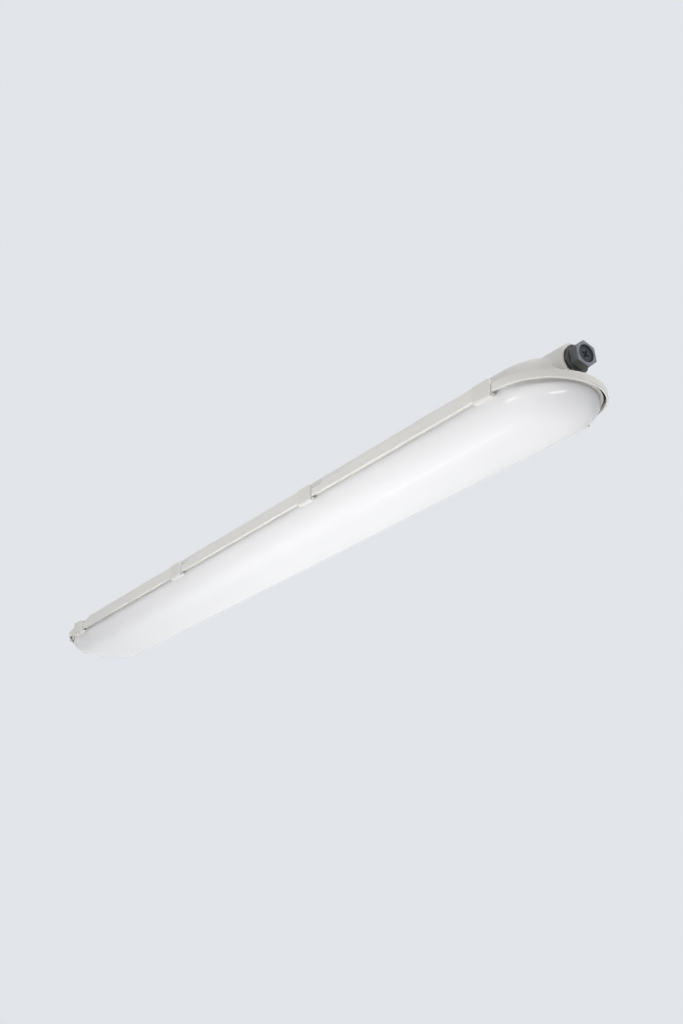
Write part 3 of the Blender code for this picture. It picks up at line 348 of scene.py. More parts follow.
def filleted(items, closed_ring=False):
    """Rounds the corners of a section. Each item is a level and the length that its fillet takes up."""
    count = len(items)
    levels = []
    for index, (corner, reach) in enumerate(items):
        inside = closed_ring or 0 < index < count - 1
        if not inside or reach <= 0:
            levels.append(corner)
            continue
        before = items[index - 1][0]
        after = items[(index + 1) % count][0]
        start = min(reach / distance(corner, before), FILLET_LIMIT)
        stop = min(reach / distance(corner, after), FILLET_LIMIT)
        for step in range(FILLET_STEPS + 1):
            t = step / FILLET_STEPS
            weights = ((1 - t) ** 2 * start, t ** 2 * stop)
            levels.append(Level(*[
                c + weights[0] * (b - c) + weights[1] * (a - c)
                for b, c, a in zip(before, corner, after)]))
    return levels


def finish_mesh(shape, name):
    """Turns a shape into a mesh with its faces outwards."""
    bmesh.ops.recalc_face_normals(shape, faces=shape.faces)
    mesh = bpy.data.meshes.new(name)
    shape.to_mesh(mesh)
    shape.free()
    return mesh


def put_in_scene(name, data):
    """Makes an object of a mesh, lamp or camera."""
    item = bpy.data.objects.new(name, data)
    bpy.context.scene.collection.objects.link(item)
    return item


def combined(name, base, joined=(), cuts=()):
    """Mesh of a base shape with other shapes joined to it, and then others cut out of it."""
    target = put_in_scene(name + "_base", finish_mesh(base, name + "_base"))
    tools = []
    steps = [("UNION", shape) for shape in joined] + [("DIFFERENCE", shape) for shape in cuts]
    for operation, shape in steps:
        tools.append(put_in_scene(name + "_tool", finish_mesh(shape, name + "_tool")))
        modifier = target.modifiers.new("boolean", "BOOLEAN")
        modifier.operation = operation
        modifier.object = tools[-1]
    bpy.context.view_layer.update()
    depsgraph = bpy.context.evaluated_depsgraph_get()
    mesh = bpy.data.meshes.new_from_object(target.evaluated_get(depsgraph))
    for item in tools + [target]:
        bpy.data.objects.remove(item, do_unlink=True)
    return mesh


def dress(name, mesh, material, body, nodes, angle=SMOOTH_ANGLE):
    """Makes a piece of the looks that rides on a body and stands for some of the solids."""
    mesh.name = name
    mesh.materials.clear()
    mesh.materials.append(material)
    mesh.shade_smooth()
    mesh.set_sharp_from_angle(angle=angle)
    item = put_in_scene(name, mesh)
    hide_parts(*nodes)
    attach(item, body)


# Materials

# Clouds are the large patches of a surface, and specks its grain. The grain's size is in metres.
CLOUD_SCALE = 14
CLOUD_DETAIL = 5
CLOUD_START = 0.3
CLOUD_END = 0.7
SPECKS_PER_GRAIN = 0.35
SPECK_DETAIL = 2
RUB_START = 0.62
RUB_END = 0.8
RUB_COLOUR_SHARE = 0.55
RUB_COLOUR_ADDED = 0.2
GLOSS_SPREAD = 0.06
LEAST_ROUGHNESS = 0.02
RELIEF_STRENGTH = 0.6


def add_noise(tree, place, scale, detail):
    """Noise that is fixed to the object."""
    noise = tree.nodes.new("ShaderNodeTexNoise")
    noise.inputs["Scale"].default_value = scale
    noise.inputs["Detail"].default_value = detail
    tree.links.new(place.outputs["Object"], noise.inputs["Vector"])
    return noise.outputs["Fac"]


def add_range(tree, value, start, end, low=0, high=1):
    """Maps the values from start to end onto those from low to high."""
    share = tree.nodes.new("ShaderNodeMapRange")
    for name, number in (("From Min", start), ("From Max", end), ("To Min", low), ("To Max", high)):
        share.inputs[name].default_value = number
    tree.links.new(value, share.inputs["Value"])
    return share.outputs["Result"]


def add_mix(tree, share, first, second):
    """Mixes a colour from another node with a plain one."""
    mix = tree.nodes.new("ShaderNodeMix")
    mix.data_type = "RGBA"
    tree.links.new(share, mix.inputs["Factor"])
    tree.links.new(first, mix.inputs["A"])
    mix.inputs["B"].default_value = (*second, 1)
    return mix.outputs["Result"]


def add_cloudiness(tree, value, colour, spread):
    """Varies a colour by a share to either side."""
    tint = tree.nodes.new("ShaderNodeValToRGB")
    darker, lighter = tint.color_ramp.elements
    darker.position = CLOUD_START
    darker.color = (*[max(c * (1 - spread), 0) for c in colour], 1)
    lighter.position = CLOUD_END
    lighter.color = (*[min(c * (1 + spread), 1) for c in colour], 1)
    tree.links.new(value, tint.inputs["Fac"])
    return tint.outputs["Color"]


def fade_beyond(tree, place, colour, source, axis, start, end, other):
    """Fades to another colour along one axis of the object's place or slant."""
    split = tree.nodes.new("ShaderNodeSeparateXYZ")
    tree.links.new(place.outputs[source], split.inputs["Vector"])
    return add_mix(tree, add_range(tree, split.outputs[axis], start, end), colour, other)


def add_relief(tree, value, height):
    """Turns a value into small bumps of the surface."""
    relief = tree.nodes.new("ShaderNodeBump")
    relief.inputs["Strength"].default_value = RELIEF_STRENGTH
    relief.inputs["Distance"].default_value = height
    tree.links.new(value, relief.inputs["Height"])
    return relief.outputs["Normal"]


def plastic(name, colour, roughness, spread=0.02, grain=0.0006, bump=0.00002, dust=0.0, specular=0.5,
            beyond=None):
    """Moulded plastic: slight cloudiness, fine grain, uneven gloss and a little dust or rubbing.

    Beyond a place or a slant on one axis, given as (source, axis, start, end, colour), it fades to
    another colour. The bowl uses this for painted shade, and the clips for painted light.
    """
    material = bpy.data.materials.new(name)
    material.use_nodes = True
    tree = material.node_tree
    shader = tree.nodes["Principled BSDF"]
    place = tree.nodes.new("ShaderNodeTexCoord")
    cloud = add_noise(tree, place, CLOUD_SCALE, CLOUD_DETAIL)
    speck = add_noise(tree, place, SPECKS_PER_GRAIN / grain, SPECK_DETAIL)
    rub = add_range(tree, speck, RUB_START, RUB_END, high=dust)
    rubbed = [c * RUB_COLOUR_SHARE + RUB_COLOUR_ADDED for c in colour]
    shown = add_mix(tree, rub, add_cloudiness(tree, cloud, colour, spread), rubbed)
    if beyond:
        shown = fade_beyond(tree, place, shown, *beyond)
    smoothest = max(roughness - GLOSS_SPREAD, LEAST_ROUGHNESS)
    roughest = min(roughness + GLOSS_SPREAD, 1)
    tree.links.new(shown, shader.inputs["Base Color"])
    tree.links.new(add_range(tree, cloud, 0, 1, smoothest, roughest), shader.inputs["Roughness"])
    tree.links.new(add_relief(tree, speck, bump), shader.inputs["Normal"])
    shader.inputs["Specular IOR Level"].default_value = specular
    return material


def metal(name, colour, roughness, across):
    """Drawn or rolled metal: fine lines along one direction, and uneven gloss."""
    material = plastic(name, colour, roughness, spread=0.06, grain=0.0009, bump=0.00001, dust=0.15)
    tree = material.node_tree
    tree.nodes["Principled BSDF"].inputs["Metallic"].default_value = 1.0
    place = next(node for node in tree.nodes if node.type == "TEX_COORD")
    stretch = tree.nodes.new("ShaderNodeMapping")
    stretch.inputs["Scale"].default_value = across
    tree.links.new(place.outputs["Object"], stretch.inputs["Vector"])
    for node in tree.nodes:
        if node.type == "TEX_NOISE":
            tree.links.new(stretch.outputs["Vector"], node.inputs["Vector"])
    return material


GLAND_GREY = (0.088, 0.096, 0.094)
# Painted shade: the colour that the bowl's wall and flange turn to above the rim's lower edge, in the gap
# under the lip, and the height over which it fades in
BOWL_GAP_SHADE_COLOUR = (0.72, 0.703, 0.665)
BOWL_GAP_SHADE_HEIGHT = 0.0012
# Painted light: the clips' faces that turn towards +X, where the lamps are, fade to this lighter colour
# between these two slants
CLIP_END_PAINTED_LIGHT = (0.95, 0.94, 0.91)
CLIP_END_LIGHT_SLANT = (0.5, 0.9)
# The cap's front face and chamfer fade to this lighter, bluer colour
CAP_FRONT_COLOUR = (0.27, 0.28, 0.32)
CAP_EDGE = 0.0002
LINES_ALONG_X = (1, 14, 14)

HOUSING_PLASTIC = plastic("light_grey_polycarbonate", (0.86, 0.838, 0.802), roughness=0.42, dust=0.05)
# The clips' plastic carries painted light: faces turned towards +X are coloured lighter
CLIP_PLASTIC = plastic("light_grey_clip", (0.81, 0.79, 0.755), roughness=0.38, dust=0.04,
                       beyond=("Normal", "X", *CLIP_END_LIGHT_SLANT, CLIP_END_PAINTED_LIGHT))
# The opal carries painted shade: above the rim's lower edge it turns darker, standing in for the shadow in
# the gap under the lip
OPAL = plastic("opal_polycarbonate", (0.919, 0.914, 0.919), roughness=0.13, spread=0.006, bump=0.000003,
               specular=0.9, beyond=("Object", "Z", level(0), level(BOWL_GAP_SHADE_HEIGHT), BOWL_GAP_SHADE_COLOUR))
RUBBER = plastic("black_rubber", (0.018, 0.019, 0.020), roughness=0.62, spread=0.2, bump=0.00004,
                 dust=0.15)
MEMBRANE = plastic("membrane_rubber", (0.040, 0.045, 0.052), roughness=0.5, spread=0.15, dust=0.1)
GLAND_PLASTIC = plastic("dark_grey_polyamide", GLAND_GREY, roughness=0.45, spread=0.12, dust=0.2)
# The cap is coloured lighter and bluer on its front face and chamfer than on its sides
CAP_PLASTIC = plastic("dark_grey_cap", GLAND_GREY, roughness=0.45, spread=0.12, dust=0.2,
                      beyond=("Object", "X", CAP_END - CAP_CHAMFER, CAP_END - CAP_EDGE, CAP_FRONT_COLOUR))
STEEL = metal("stainless_steel", (0.62, 0.62, 0.60), roughness=0.32, across=LINES_ALONG_X)
WHITE_STEEL = plastic("white_painted_steel", (0.80, 0.80, 0.79), roughness=0.4, dust=0.08)
SOLDER_MASK = plastic("white_solder_mask", (0.78, 0.78, 0.76), roughness=0.35, spread=0.03, dust=0.1)
WHITE_PLUG = plastic("white_plug_plastic", (0.74, 0.74, 0.71), roughness=0.45, dust=0.08)
INSULATION = {
    "supply_wire_live": plastic("brown_insulation", (0.14, 0.055, 0.028), roughness=0.45, spread=0.1),
    "supply_wire_neutral": plastic("blue_insulation", (0.025, 0.11, 0.42), roughness=0.45, spread=0.1),
    "earth_wire": plastic("green_insulation", (0.05, 0.32, 0.09), roughness=0.45, spread=0.1),
    "led_wire_plus": plastic("red_insulation", (0.44, 0.03, 0.025), roughness=0.45, spread=0.1),
    "led_wire_minus": plastic("black_insulation", (0.02, 0.02, 0.02), roughness=0.5, spread=0.2),
}


# Housing

def clip_places():
    """X of the clips of a row, from the gland's end."""
    first = CLIP_SPACING * (CLIPS_PER_SIDE - 1) / 2
    return [first - CLIP_SPACING * index + CLIP_ROW_OFFSET for index in range(CLIPS_PER_SIDE)]


def tub_level(inset, end_inset, height, nose=None):
    """Level of the tub's outer face. Without a nose of its own its ends are half-round."""
    half_width = RIM_RADIUS - inset
    return Level(half_width, HALF_LENGTH - end_inset, nose or half_width, height)


def tub_inside(inset, end_inset, height, nose=None):
    """The same level on the inner face of the tub's wall."""
    return tub_level(inset + WALL, end_inset + WALL, height - WALL, nose and nose - WALL)


def rim_level(half_width, height):
    """Level with half-round ends that share their centres with the rim's."""
    return Level(half_width, HALF_LENGTH - RIM_RADIUS + half_width, half_width, height)


def narrower(item, inset, height):
    """Level that is set in all round from another."""
    return Level(item.half_width - inset, item.end - inset, item.nose - inset, height)


def housing_section():
    """Section from the middle of the back, round the rim, to the cavity's ceiling, with its fillets."""
    inner_rim = RIM_RADIUS - LIP_THICKNESS
    rib_out = inner_rim - CHANNEL_WIDTH
    rib_in = rib_out - CHANNEL_RIB
    rib_bottom = CHANNEL_HEIGHT - CHANNEL_RIB_DROP
    rail_nose = SHOULDER_NOSE - (RAIL_END_INSET - SHOULDER_END_INSET)
    rail = Level(RAIL_HALF_WIDTH, HALF_LENGTH - RAIL_END_INSET, rail_nose, BACK_HEIGHT)
    hollow = narrower(rail, RAIL_WALL, BACK_HEIGHT - BACK_WALL)
    shoulder = (SHOULDER_INSET, SHOULDER_END_INSET, SHOULDER_HEIGHT, SHOULDER_NOSE)
    slope = (TUB_SLOPE_INSET, TUB_SLOPE_END_INSET, TUB_SLOPE_HEIGHT, SHOULDER_NOSE)
    wall = (TUB_WALL_INSET, TUB_WALL_END_INSET, TUB_WALL_HEIGHT)
    ceiling = tub_inside(*shoulder)
    return filleted([
        (narrower(rail, BACK_EDGE_INSET, BACK_HEIGHT), 0),
        (rail, BACK_EDGE_FILLET),
        (rail._replace(height=SHOULDER_HEIGHT), RAIL_FOOT_FILLET),
        (tub_level(*shoulder), SHOULDER_FILLET),
        (tub_level(*slope), SLOPE_FILLET),
        (tub_level(*wall), TUB_WALL_FILLET),
        (tub_level(TUB_BASE_INSET, TUB_BASE_END_INSET, RIM_HEIGHT), TUB_BASE_FILLET),
        (rim_level(RIM_RADIUS, RIM_HEIGHT), RIM_TOP_FILLET),
        (rim_level(RIM_RADIUS, 0), RIM_EDGE_FILLET),
        (rim_level(inner_rim, 0), LIP_FILLET),
        (rim_level(inner_rim, CHANNEL_HEIGHT), CHANNEL_FILLET),
        (rim_level(rib_out, CHANNEL_HEIGHT), CHANNEL_FILLET),
        (rim_level(rib_out, rib_bottom), CHANNEL_FILLET),
        (rim_level(rib_in, rib_bottom), CHANNEL_FILLET),
        (tub_inside(*wall), INNER_FILLET),
        (tub_inside(*slope), INNER_FILLET),
        (ceiling, CEILING_FILLET),
        (hollow._replace(height=ceiling.height), HOLLOW_FILLET),
        (hollow, 0),
    ])


def side_wall_runs():
    """X where each taller wall starts and ends. It leaves a pocket beside the clip at its start."""
    places = clip_places()
    half = CLIP_WIDTH / 2
    return [(low + half + POCKET_EXTRA, high - half - CLEARANCE) for high, low in zip(places, places[1:])]


def side_walls():
    """Taller walls along both straight sides, with rounded edges, and the rim's flush face below them."""
    walls = bmesh.new()
    skins = bmesh.new()
    for x_start, x_end in side_wall_runs():
        outline = [(x_start, LUG_BOTTOM), (x_end, LUG_BOTTOM), (x_end, SIDE_WALL_HEIGHT),
                   (x_start + SIDE_WALL_CHAMFER, SIDE_WALL_HEIGHT), (x_start, RIM_HEIGHT)]
        for side in (-1, 1):
            add_side_prism(walls, outline, side * RIM_RADIUS, side * (RIM_RADIUS - SIDE_WALL_DEPTH))
            ends = sorted((side * RIM_RADIUS, side * (RIM_RADIUS - LIP_THICKNESS / 2)))
            add_box(skins, (x_start, ends[0], RIM_HEIGHT / 2), (x_end, ends[1], RIM_HEIGHT + WALL_ROUND))
    return [soften(walls, WALL_ROUND), skins]


def hinge_lugs():
    """Two lugs beside each clip's barrel."""
    shape = bmesh.new()
    front = HINGE_Y + HINGE_LUG_FRONT
    back = RIM_RADIUS - SIDE_WALL_DEPTH
    top = HINGE_HEIGHT + HINGE_LUG_TOP
    outline = [(front, LUG_BOTTOM), (front, top - HINGE_LUG_CHAMFER), (front - HINGE_LUG_CHAMFER, top),
               (back, top), (back, LUG_BOTTOM)]
    inside = HINGE_BARREL_WIDTH / 2 + CLEARANCE
    for x in clip_places():
        for side in (-1, 1):
            mirrored = [(side * y, height) for y, height in outline]
            add_prism(shape, mirrored, x + inside, x + inside + HINGE_LUG)
            add_prism(shape, mirrored, x - inside - HINGE_LUG, x - inside)
    return soften(shape, EDGE_ROUND, steps=2)


def hinge_bores():
    """Bores through each pair of lugs, for the clips' pins."""
    shape = bmesh.new()
    reach = HINGE_BARREL_WIDTH / 2 + CLEARANCE + HINGE_LUG + OVERRUN
    for x in clip_places():
        for side in (-1, 1):
            start = (x - reach, side * HINGE_Y, HINGE_HEIGHT)
            add_rod(shape, start, "x", 2 * reach, HINGE_PIN + CLEARANCE, SMALL_SIDES)
    return shape


def lip_notches():
    """Slots in the lip that the clips' tips reach through."""
    shape = bmesh.new()
    half = CLIP_TIP_WIDTH / 2 + CLEARANCE
    outside = RIM_RADIUS + OVERRUN
    inside = RIM_RADIUS - LIP_THICKNESS - OVERRUN / 2
    for x in clip_places():
        for side in (-1, 1):
            ends = sorted((side * outside, side * inside))
            add_box(shape, (x - half, ends[0], -OVERRUN), (x + half, ends[1], NOTCH_HEIGHT))
    return shape


def boss():
    """Round boss that the gland goes through."""
    shape = bmesh.new()
    start = (BOSS_END - BOSS_ROOT, 0, GLAND_HEIGHT)
    add_rod(shape, start, "x", BOSS_ROOT, BOSS_RADIUS, 2 * ROUND_SIDES)
    return soften(shape, BOSS_ROUND, steps=4)


def boss_cuts():
    """Hollow inside the boss, and the hole in its end wall."""
    hollow = bmesh.new()
    start = (BOSS_END - BOSS_ROOT - OVERRUN, 0, GLAND_HEIGHT)
    add_rod(hollow, start, "x", BOSS_ROOT + OVERRUN - BOSS_WALL, BOSS_BORE, ROUND_SIDES)
    entry = bmesh.new()
    start = (BOSS_END - BOSS_WALL - OVERRUN, 0, GLAND_HEIGHT)
    add_rod(entry, start, "x", BOSS_WALL + 2 * OVERRUN, THREAD_RADIUS + CLEARANCE, ROUND_SIDES)
    return [hollow, entry]


def post_places():
    """X and Y of the posts that the gear tray is screwed to."""
    return [(x, y) for x in (-POST_X, 0, POST_X) for y in (-POST_Y, POST_Y)]


def tray_posts():
    """Posts from the tray up into the housing's ceiling."""
    shape = bmesh.new()
    bottom = TRAY_TOP + CLEARANCE
    length = SHOULDER_HEIGHT - POST_TOP_DROP - bottom
    for x, y in post_places():
        add_rod(shape, (x, y, bottom), "z", length, POST_RADIUS, SMALL_SIDES)
    return shape


def post_bores():
    """Screw holes in the posts."""
    shape = bmesh.new()
    for x, y in post_places():
        add_rod(shape, (x, y, TRAY_TOP), "z", POST_BORE_DEPTH, SCREW_SHANK + CLEARANCE, SMALL_SIDES)
    return shape


def bracket_recesses():
    """Recesses across the back rail for the brackets, with a groove on either side for their hooks."""
    shape = bmesh.new()
    half = BRACKET_LENGTH / 2 + BRACKET_TRAVEL + CLEARANCE
    floor = BACK_HEIGHT - BRACKET_THICKNESS - CLEARANCE
    wide = RAIL_HALF_WIDTH + OVERRUN
    groove_in = RAIL_HALF_WIDTH - HOOK_GROOVE
    groove_top = BACK_HEIGHT - BRACKET_LEG + BRACKET_HOOK + CLEARANCE
    groove_bottom = BACK_HEIGHT - BRACKET_LEG - CLEARANCE
    for x in (-BRACKET_X, BRACKET_X):
        add_box(shape, (x - half, -wide, floor), (x + half, wide, BACK_HEIGHT + OVERRUN))
        add_box(shape, (x - half, groove_in, groove_bottom), (x + half, wide, groove_top))
        add_box(shape, (x - half, -wide, groove_bottom), (x + half, -groove_in, groove_top))
    return shape


def dress_housing():
    """Housing in one piece, with its walls, lugs, boss and posts."""
    joined = side_walls() + [hinge_lugs(), boss(), tray_posts()]
    cuts = boss_cuts() + [hinge_bores(), lip_notches(), post_bores(), bracket_recesses()]
    mesh = combined("housing_shell", loft(housing_section()), joined, cuts)
    dress("housing_shell", mesh, HOUSING_PLASTIC, "fixture", ["housing"])


# Diffuser and gasket

def bowl_levels(inset):
    """Levels of the bowl from its rim to its crown, set in from its outer face."""
    levels = []
    depth = DIFFUSER_DEPTH - inset
    half_width = BOWL_HALF_WIDTH - inset
    end = BOWL_END - inset
    for step in range(BOWL_STEPS + 1):
        share = step / (BOWL_STEPS + BOWL_LAST_STEP)
        angle = math.pi / 2 * (1 - (1 - share) ** BOWL_STEP_POWER)
        down = math.sin(angle) ** (2 / BOWL_CORNER_SHARE)
        across = math.cos(angle) ** (2 / BOWL_CROWN_SHARE)
        end_inset = BOWL_END_SHARE * half_width * (1 - across)
        square = BOWL_SQUARE_SHARE * (1 - (1 - down) ** 2)
        nose = half_width * across
        levels.append(Level(nose, end - end_inset, nose, -depth * down, square))
    return levels


def flange_level(half_width, height):
    """Level with half-round ends that share their centres with the bowl's rim."""
    return Level(half_width, BOWL_END + half_width - BOWL_HALF_WIDTH, half_width, height)


def dress_diffuser():
    """Bowl with the flange that the gasket presses on."""
    flange_edge = BOWL_HALF_WIDTH + FLANGE_WIDTH
    inner_edge = BOWL_HALF_WIDTH - DIFFUSER_WALL
    inside = list(reversed(bowl_levels(DIFFUSER_WALL)))
    outside = bowl_levels(0)
    flange = filleted([
        (inside[-1], 0),
        (flange_level(inner_edge, FLANGE_TOP), EDGE_ROUND),
        (flange_level(flange_edge, FLANGE_TOP), EDGE_ROUND),
        (flange_level(flange_edge, FLANGE_BOTTOM), EDGE_ROUND),
        (flange_level(BOWL_HALF_WIDTH, FLANGE_BOTTOM), EDGE_ROUND),
        (outside[0], 0),
    ])
    mesh = finish_mesh(loft(inside[:-1] + flange + outside[1:]), "diffuser_bowl")
    dress("diffuser_bowl", mesh, OPAL, "fixture", ["diffuser"])


def dress_gasket():
    """Gasket round the channel in the rim."""
    outer = RIM_RADIUS - LIP_THICKNESS - CLEARANCE
    inner = RIM_RADIUS - LIP_THICKNESS - CHANNEL_WIDTH + CLEARANCE
    bottom = GASKET_TOP - GASKET_THICKNESS
    corners = [(outer, GASKET_TOP), (outer, bottom), (inner, bottom), (inner, GASKET_TOP)]
    section = filleted([(rim_level(*corner), GASKET_ROUND) for corner in corners], closed_ring=True)
    mesh = finish_mesh(loft(section, closed_ring=True), "gasket_ring")
    dress("gasket_ring", mesh, RUBBER, "fixture", ["gasket"])


# Clips

def round_corner(centre_y, centre_height, radius, first_quarter):
    """Points along a quarter of a circle, as (y, height)."""
    points = []
    for step in range(CORNER_STEPS + 1):
        angle = math.pi / 2 * (first_quarter + step / CORNER_STEPS)
        points.append((centre_y + radius * math.cos(angle), centre_height + radius * math.sin(angle)))
    return points


def clip_section():
    """Section of a clip's plate and hook, for the front side, as (y, height)."""
    plate_front = -(PLATE_BACK + CLIP_PLATE)
    toe_bottom = CLIP_TOE_RISE - CLIP_BOTTOM
    outer = round_corner(plate_front + CLIP_CORNER, CLIP_CORNER - CLIP_BOTTOM, CLIP_CORNER, 2)
    toe = round_corner(-FOOT_END - CLIP_FOOT_ROUND, CLIP_FOOT_ROUND + toe_bottom, CLIP_FOOT_ROUND, 3)
    inner = [(-FOOT_END, -CLIP_FOOT_DROP), (-PLATE_BACK, -CLIP_FOOT_DROP)]
    top = round_corner(plate_front + CLIP_FOOT_ROUND, CLIP_TOP - CLIP_FOOT_ROUND, CLIP_FOOT_ROUND, 1)
    return outer + toe + inner + [(-PLATE_BACK, CLIP_TOP)] + top


def soften_ends(shape, half):
    """Rounds the rims of a clip's two end faces."""
    bmesh.ops.recalc_face_normals(shape, faces=shape.faces)
    rims = [edge for edge in shape.edges
            if all(abs(abs(vert.co.x) - half) < CLEARANCE for vert in edge.verts)
            and edge.verts[0].co.x * edge.verts[1].co.x > 0]
    return round_edges(shape, rims, CLIP_END_ROUND, steps=3)


def clip_hinge():
    """A clip's web, barrel and pin ends."""
    half = HINGE_BARREL_WIDTH / 2
    plate_middle = -(PLATE_BACK + CLIP_PLATE / 2)
    web = bmesh.new()
    add_box(web, (-half, plate_middle, HINGE_HEIGHT - HINGE_BARREL),
            (half, -HINGE_Y, HINGE_HEIGHT + HINGE_BARREL))
    shapes = [web]
    for reach, radius in ((half, HINGE_BARREL), (half + HINGE_LUG, HINGE_PIN)):
        rod = bmesh.new()
        add_rod(rod, (-reach, -HINGE_Y, HINGE_HEIGHT), "x", 2 * reach, radius, SMALL_SIDES)
        shapes.append(rod)
    return shapes


def clip_tip():
    """Narrower tip on the hook, which reaches up through the lip."""
    half = CLIP_TIP_WIDTH / 2
    tip = bmesh.new()
    add_box(tip, (-half, -FOOT_END - CLIP_TIP_THICKNESS, -CLIP_BOTTOM / 2),
            (half, -FOOT_END, FLANGE_BOTTOM - CLEARANCE))
    return soften(tip, EDGE_ROUND)


def clip_holes(half):
    """Small blind holes in the hook's two ends."""
    holes = bmesh.new()
    y = CLIP_HOLE_INSET - PLATE_BACK - CLIP_PLATE
    height = CLIP_HOLE_HEIGHT - CLIP_BOTTOM
    for start in (-half - OVERRUN, half - CLIP_HOLE_DEPTH):
        add_rod(holes, (start, y, height), "x", CLIP_HOLE_DEPTH + OVERRUN, CLIP_HOLE, SMALL_SIDES)
    return holes


def clip_mesh():
    """Clip for the front side, built in place at X = 0."""
    half = CLIP_WIDTH / 2
    base = bmesh.new()
    add_prism(base, clip_section(), -half, half)
    return combined("clip", soften_ends(base, half), clip_hinge() + [clip_tip()], [clip_holes(half)])


def dress_clips():
    """Four clips on each long side. Those at the back are the front ones turned round."""
    source = clip_mesh()
    for number, x in enumerate(clip_places(), start=1):
        for side, turn in (("front", 0), ("back", math.pi)):
            name = f"clip_{side}_{number}"
            mesh = source.copy()
            mesh.transform(Matrix.Translation((x, 0, 0)) @ Matrix.Rotation(turn, 4, "Z"))
            dress(name + "_shape", mesh, CLIP_PLASTIC, name + "_body", [name])


# Cable gland

def turned(rings, name):
    """Mesh of rings of points round the gland's axis. Each ring is (x, function of the angle)."""
    shape = bmesh.new()
    sides = 2 * ROUND_SIDES
    middle = level(GLAND_HEIGHT)
    rows = []
    for x, radius in rings:
        row = []
        for index in range(sides):
            angle = 2 * math.pi * index / sides
            reach = radius(angle)
            point = (x, reach * math.cos(angle), middle + reach * math.sin(angle))
            row.append(shape.verts.new(point))
        rows.append(row)
    for row, following in zip(rows, rows[1:] + rows[:1]):
        for index in range(sides):
            after = (index + 1) % sides
            shape.faces.new((row[index], row[after], following[after], following[index]))
    return finish_mesh(shape, name)


def ring_of(radius):
    """Circle: the same distance from the axis at every angle."""
    return lambda angle: radius


def hexagon_of(across_flats, turn, limit, rib_depth=0.0):
    """Hexagon with its corners cut back to a circle, and ribs along it where they have a depth."""
    sixth = math.pi / 3
    corner = across_flats / 2 / math.cos(sixth / 2)

    def radius(angle):
        from_middle = (angle - turn) % sixth - sixth / 2
        flat = across_flats / 2 / math.cos(from_middle)
        ripple = rib_depth * (1 - math.cos(COLLAR_RIBS * angle)) / 2
        return min(flat, corner * limit) - ripple

    return radius


def dress_seal():
    """Rubber ring between the boss and the collar."""
    bore = ring_of(THREAD_RADIUS + CLEARANCE)
    face = ring_of(SEAL_RADIUS - EDGE_ROUND)
    side = ring_of(SEAL_RADIUS)
    mesh = turned([
        (SEAL_START, bore),
        (SEAL_START, face),
        (SEAL_START + EDGE_ROUND, side),
        (SEAL_END - EDGE_ROUND, side),
        (SEAL_END, face),
        (SEAL_END, bore),
    ], "gland_seal_ring")
    dress("gland_seal_ring", mesh, RUBBER, "fixture", ["gland_seal"])


def dress_collar():
    """The gland's body: threaded shank, ribbed hexagonal collar and the neck inside the cap."""
    shank_start = COLLAR_START - SHANK_LENGTH
    neck_end = COLLAR_END + NECK_LENGTH - CLEARANCE
    bore = ring_of(GLAND_BORE)
    shank = ring_of(THREAD_RADIUS)
    neck = ring_of(NECK_RADIUS)
    ribbed = hexagon_of(COLLAR_ACROSS_FLATS, COLLAR_TURN, COLLAR_CORNER, COLLAR_RIB_DEPTH)
    mesh = turned([
        (shank_start, bore),
        (shank_start, ring_of(THREAD_RADIUS - EDGE_ROUND)),
        (shank_start + EDGE_ROUND, shank),
        (COLLAR_START, shank),
        (COLLAR_START, hexagon_of(COLLAR_ACROSS_FLATS, COLLAR_TURN, COLLAR_CORNER_BACK)),
        (COLLAR_START + EDGE_ROUND, ribbed),
        (COLLAR_END - EDGE_ROUND, ribbed),
        (COLLAR_END, hexagon_of(COLLAR_ACROSS_FLATS, COLLAR_TURN, COLLAR_CORNER_FRONT)),
        (COLLAR_END, neck),
        (neck_end, neck),
        (neck_end, bore),
    ], "gland_collar")
    dress("gland_collar", mesh, GLAND_PLASTIC, "fixture", ["gland_body"])


def dress_cap():
    """Hexagonal cap nut with a chamfer round its front."""
    bore_radius = NECK_RADIUS + CLEARANCE
    flats = CAP_ACROSS_FLATS
    bore = ring_of(bore_radius)
    side = hexagon_of(flats, CAP_TURN, CAP_CORNER)
    mesh = turned([
        (CAP_START, bore),
        (CAP_START, hexagon_of(flats - CAP_BACK_NARROWING, CAP_TURN, CAP_CORNER_BACK)),
        (CAP_START + CAP_BACK_CHAMFER, side),
        (CAP_END - CAP_CHAMFER, side),
        (CAP_END - CAP_CHAMFER / 3, hexagon_of(flats - CAP_CHAMFER, CAP_TURN, CAP_CORNER_CHAMFER)),
        (CAP_END, hexagon_of(flats - CAP_FRONT_NARROWING, CAP_TURN, CAP_CORNER_FRONT)),
        (CAP_END, ring_of(bore_radius + CAP_BORE_CHAMFER)),
        (CAP_END - CAP_BORE_CHAMFER, bore),
    ], "gland_cap_nut")
    dress("gland_cap_nut", mesh, CAP_PLASTIC, "cable_cap", ["gland_cap"],
          CAP_SMOOTH_ANGLE)


def membrane_slits(front):
    """Cross that is pressed into the membrane's front."""
    half_width = SLIT_WIDTH / 2
    quarter_outline = [(SLIT_LENGTH / 2, half_width), (half_width, half_width),
                       (half_width, SLIT_LENGTH / 2)]
    middle = Vector((front, 0, level(GLAND_HEIGHT)))
    outline = []
    for quarter in range(4):
        spin = Matrix.Rotation(SLIT_TURN + quarter * math.pi / 2, 2)
        outline += [spin @ Vector(point) for point in quarter_outline]
    shape = bmesh.new()
    points = [middle + Vector((-SLIT_DEPTH, y, z)) for y, z in outline]
    extrude(shape, points, (SLIT_DEPTH + OVERRUN, 0, 0))
    return shape


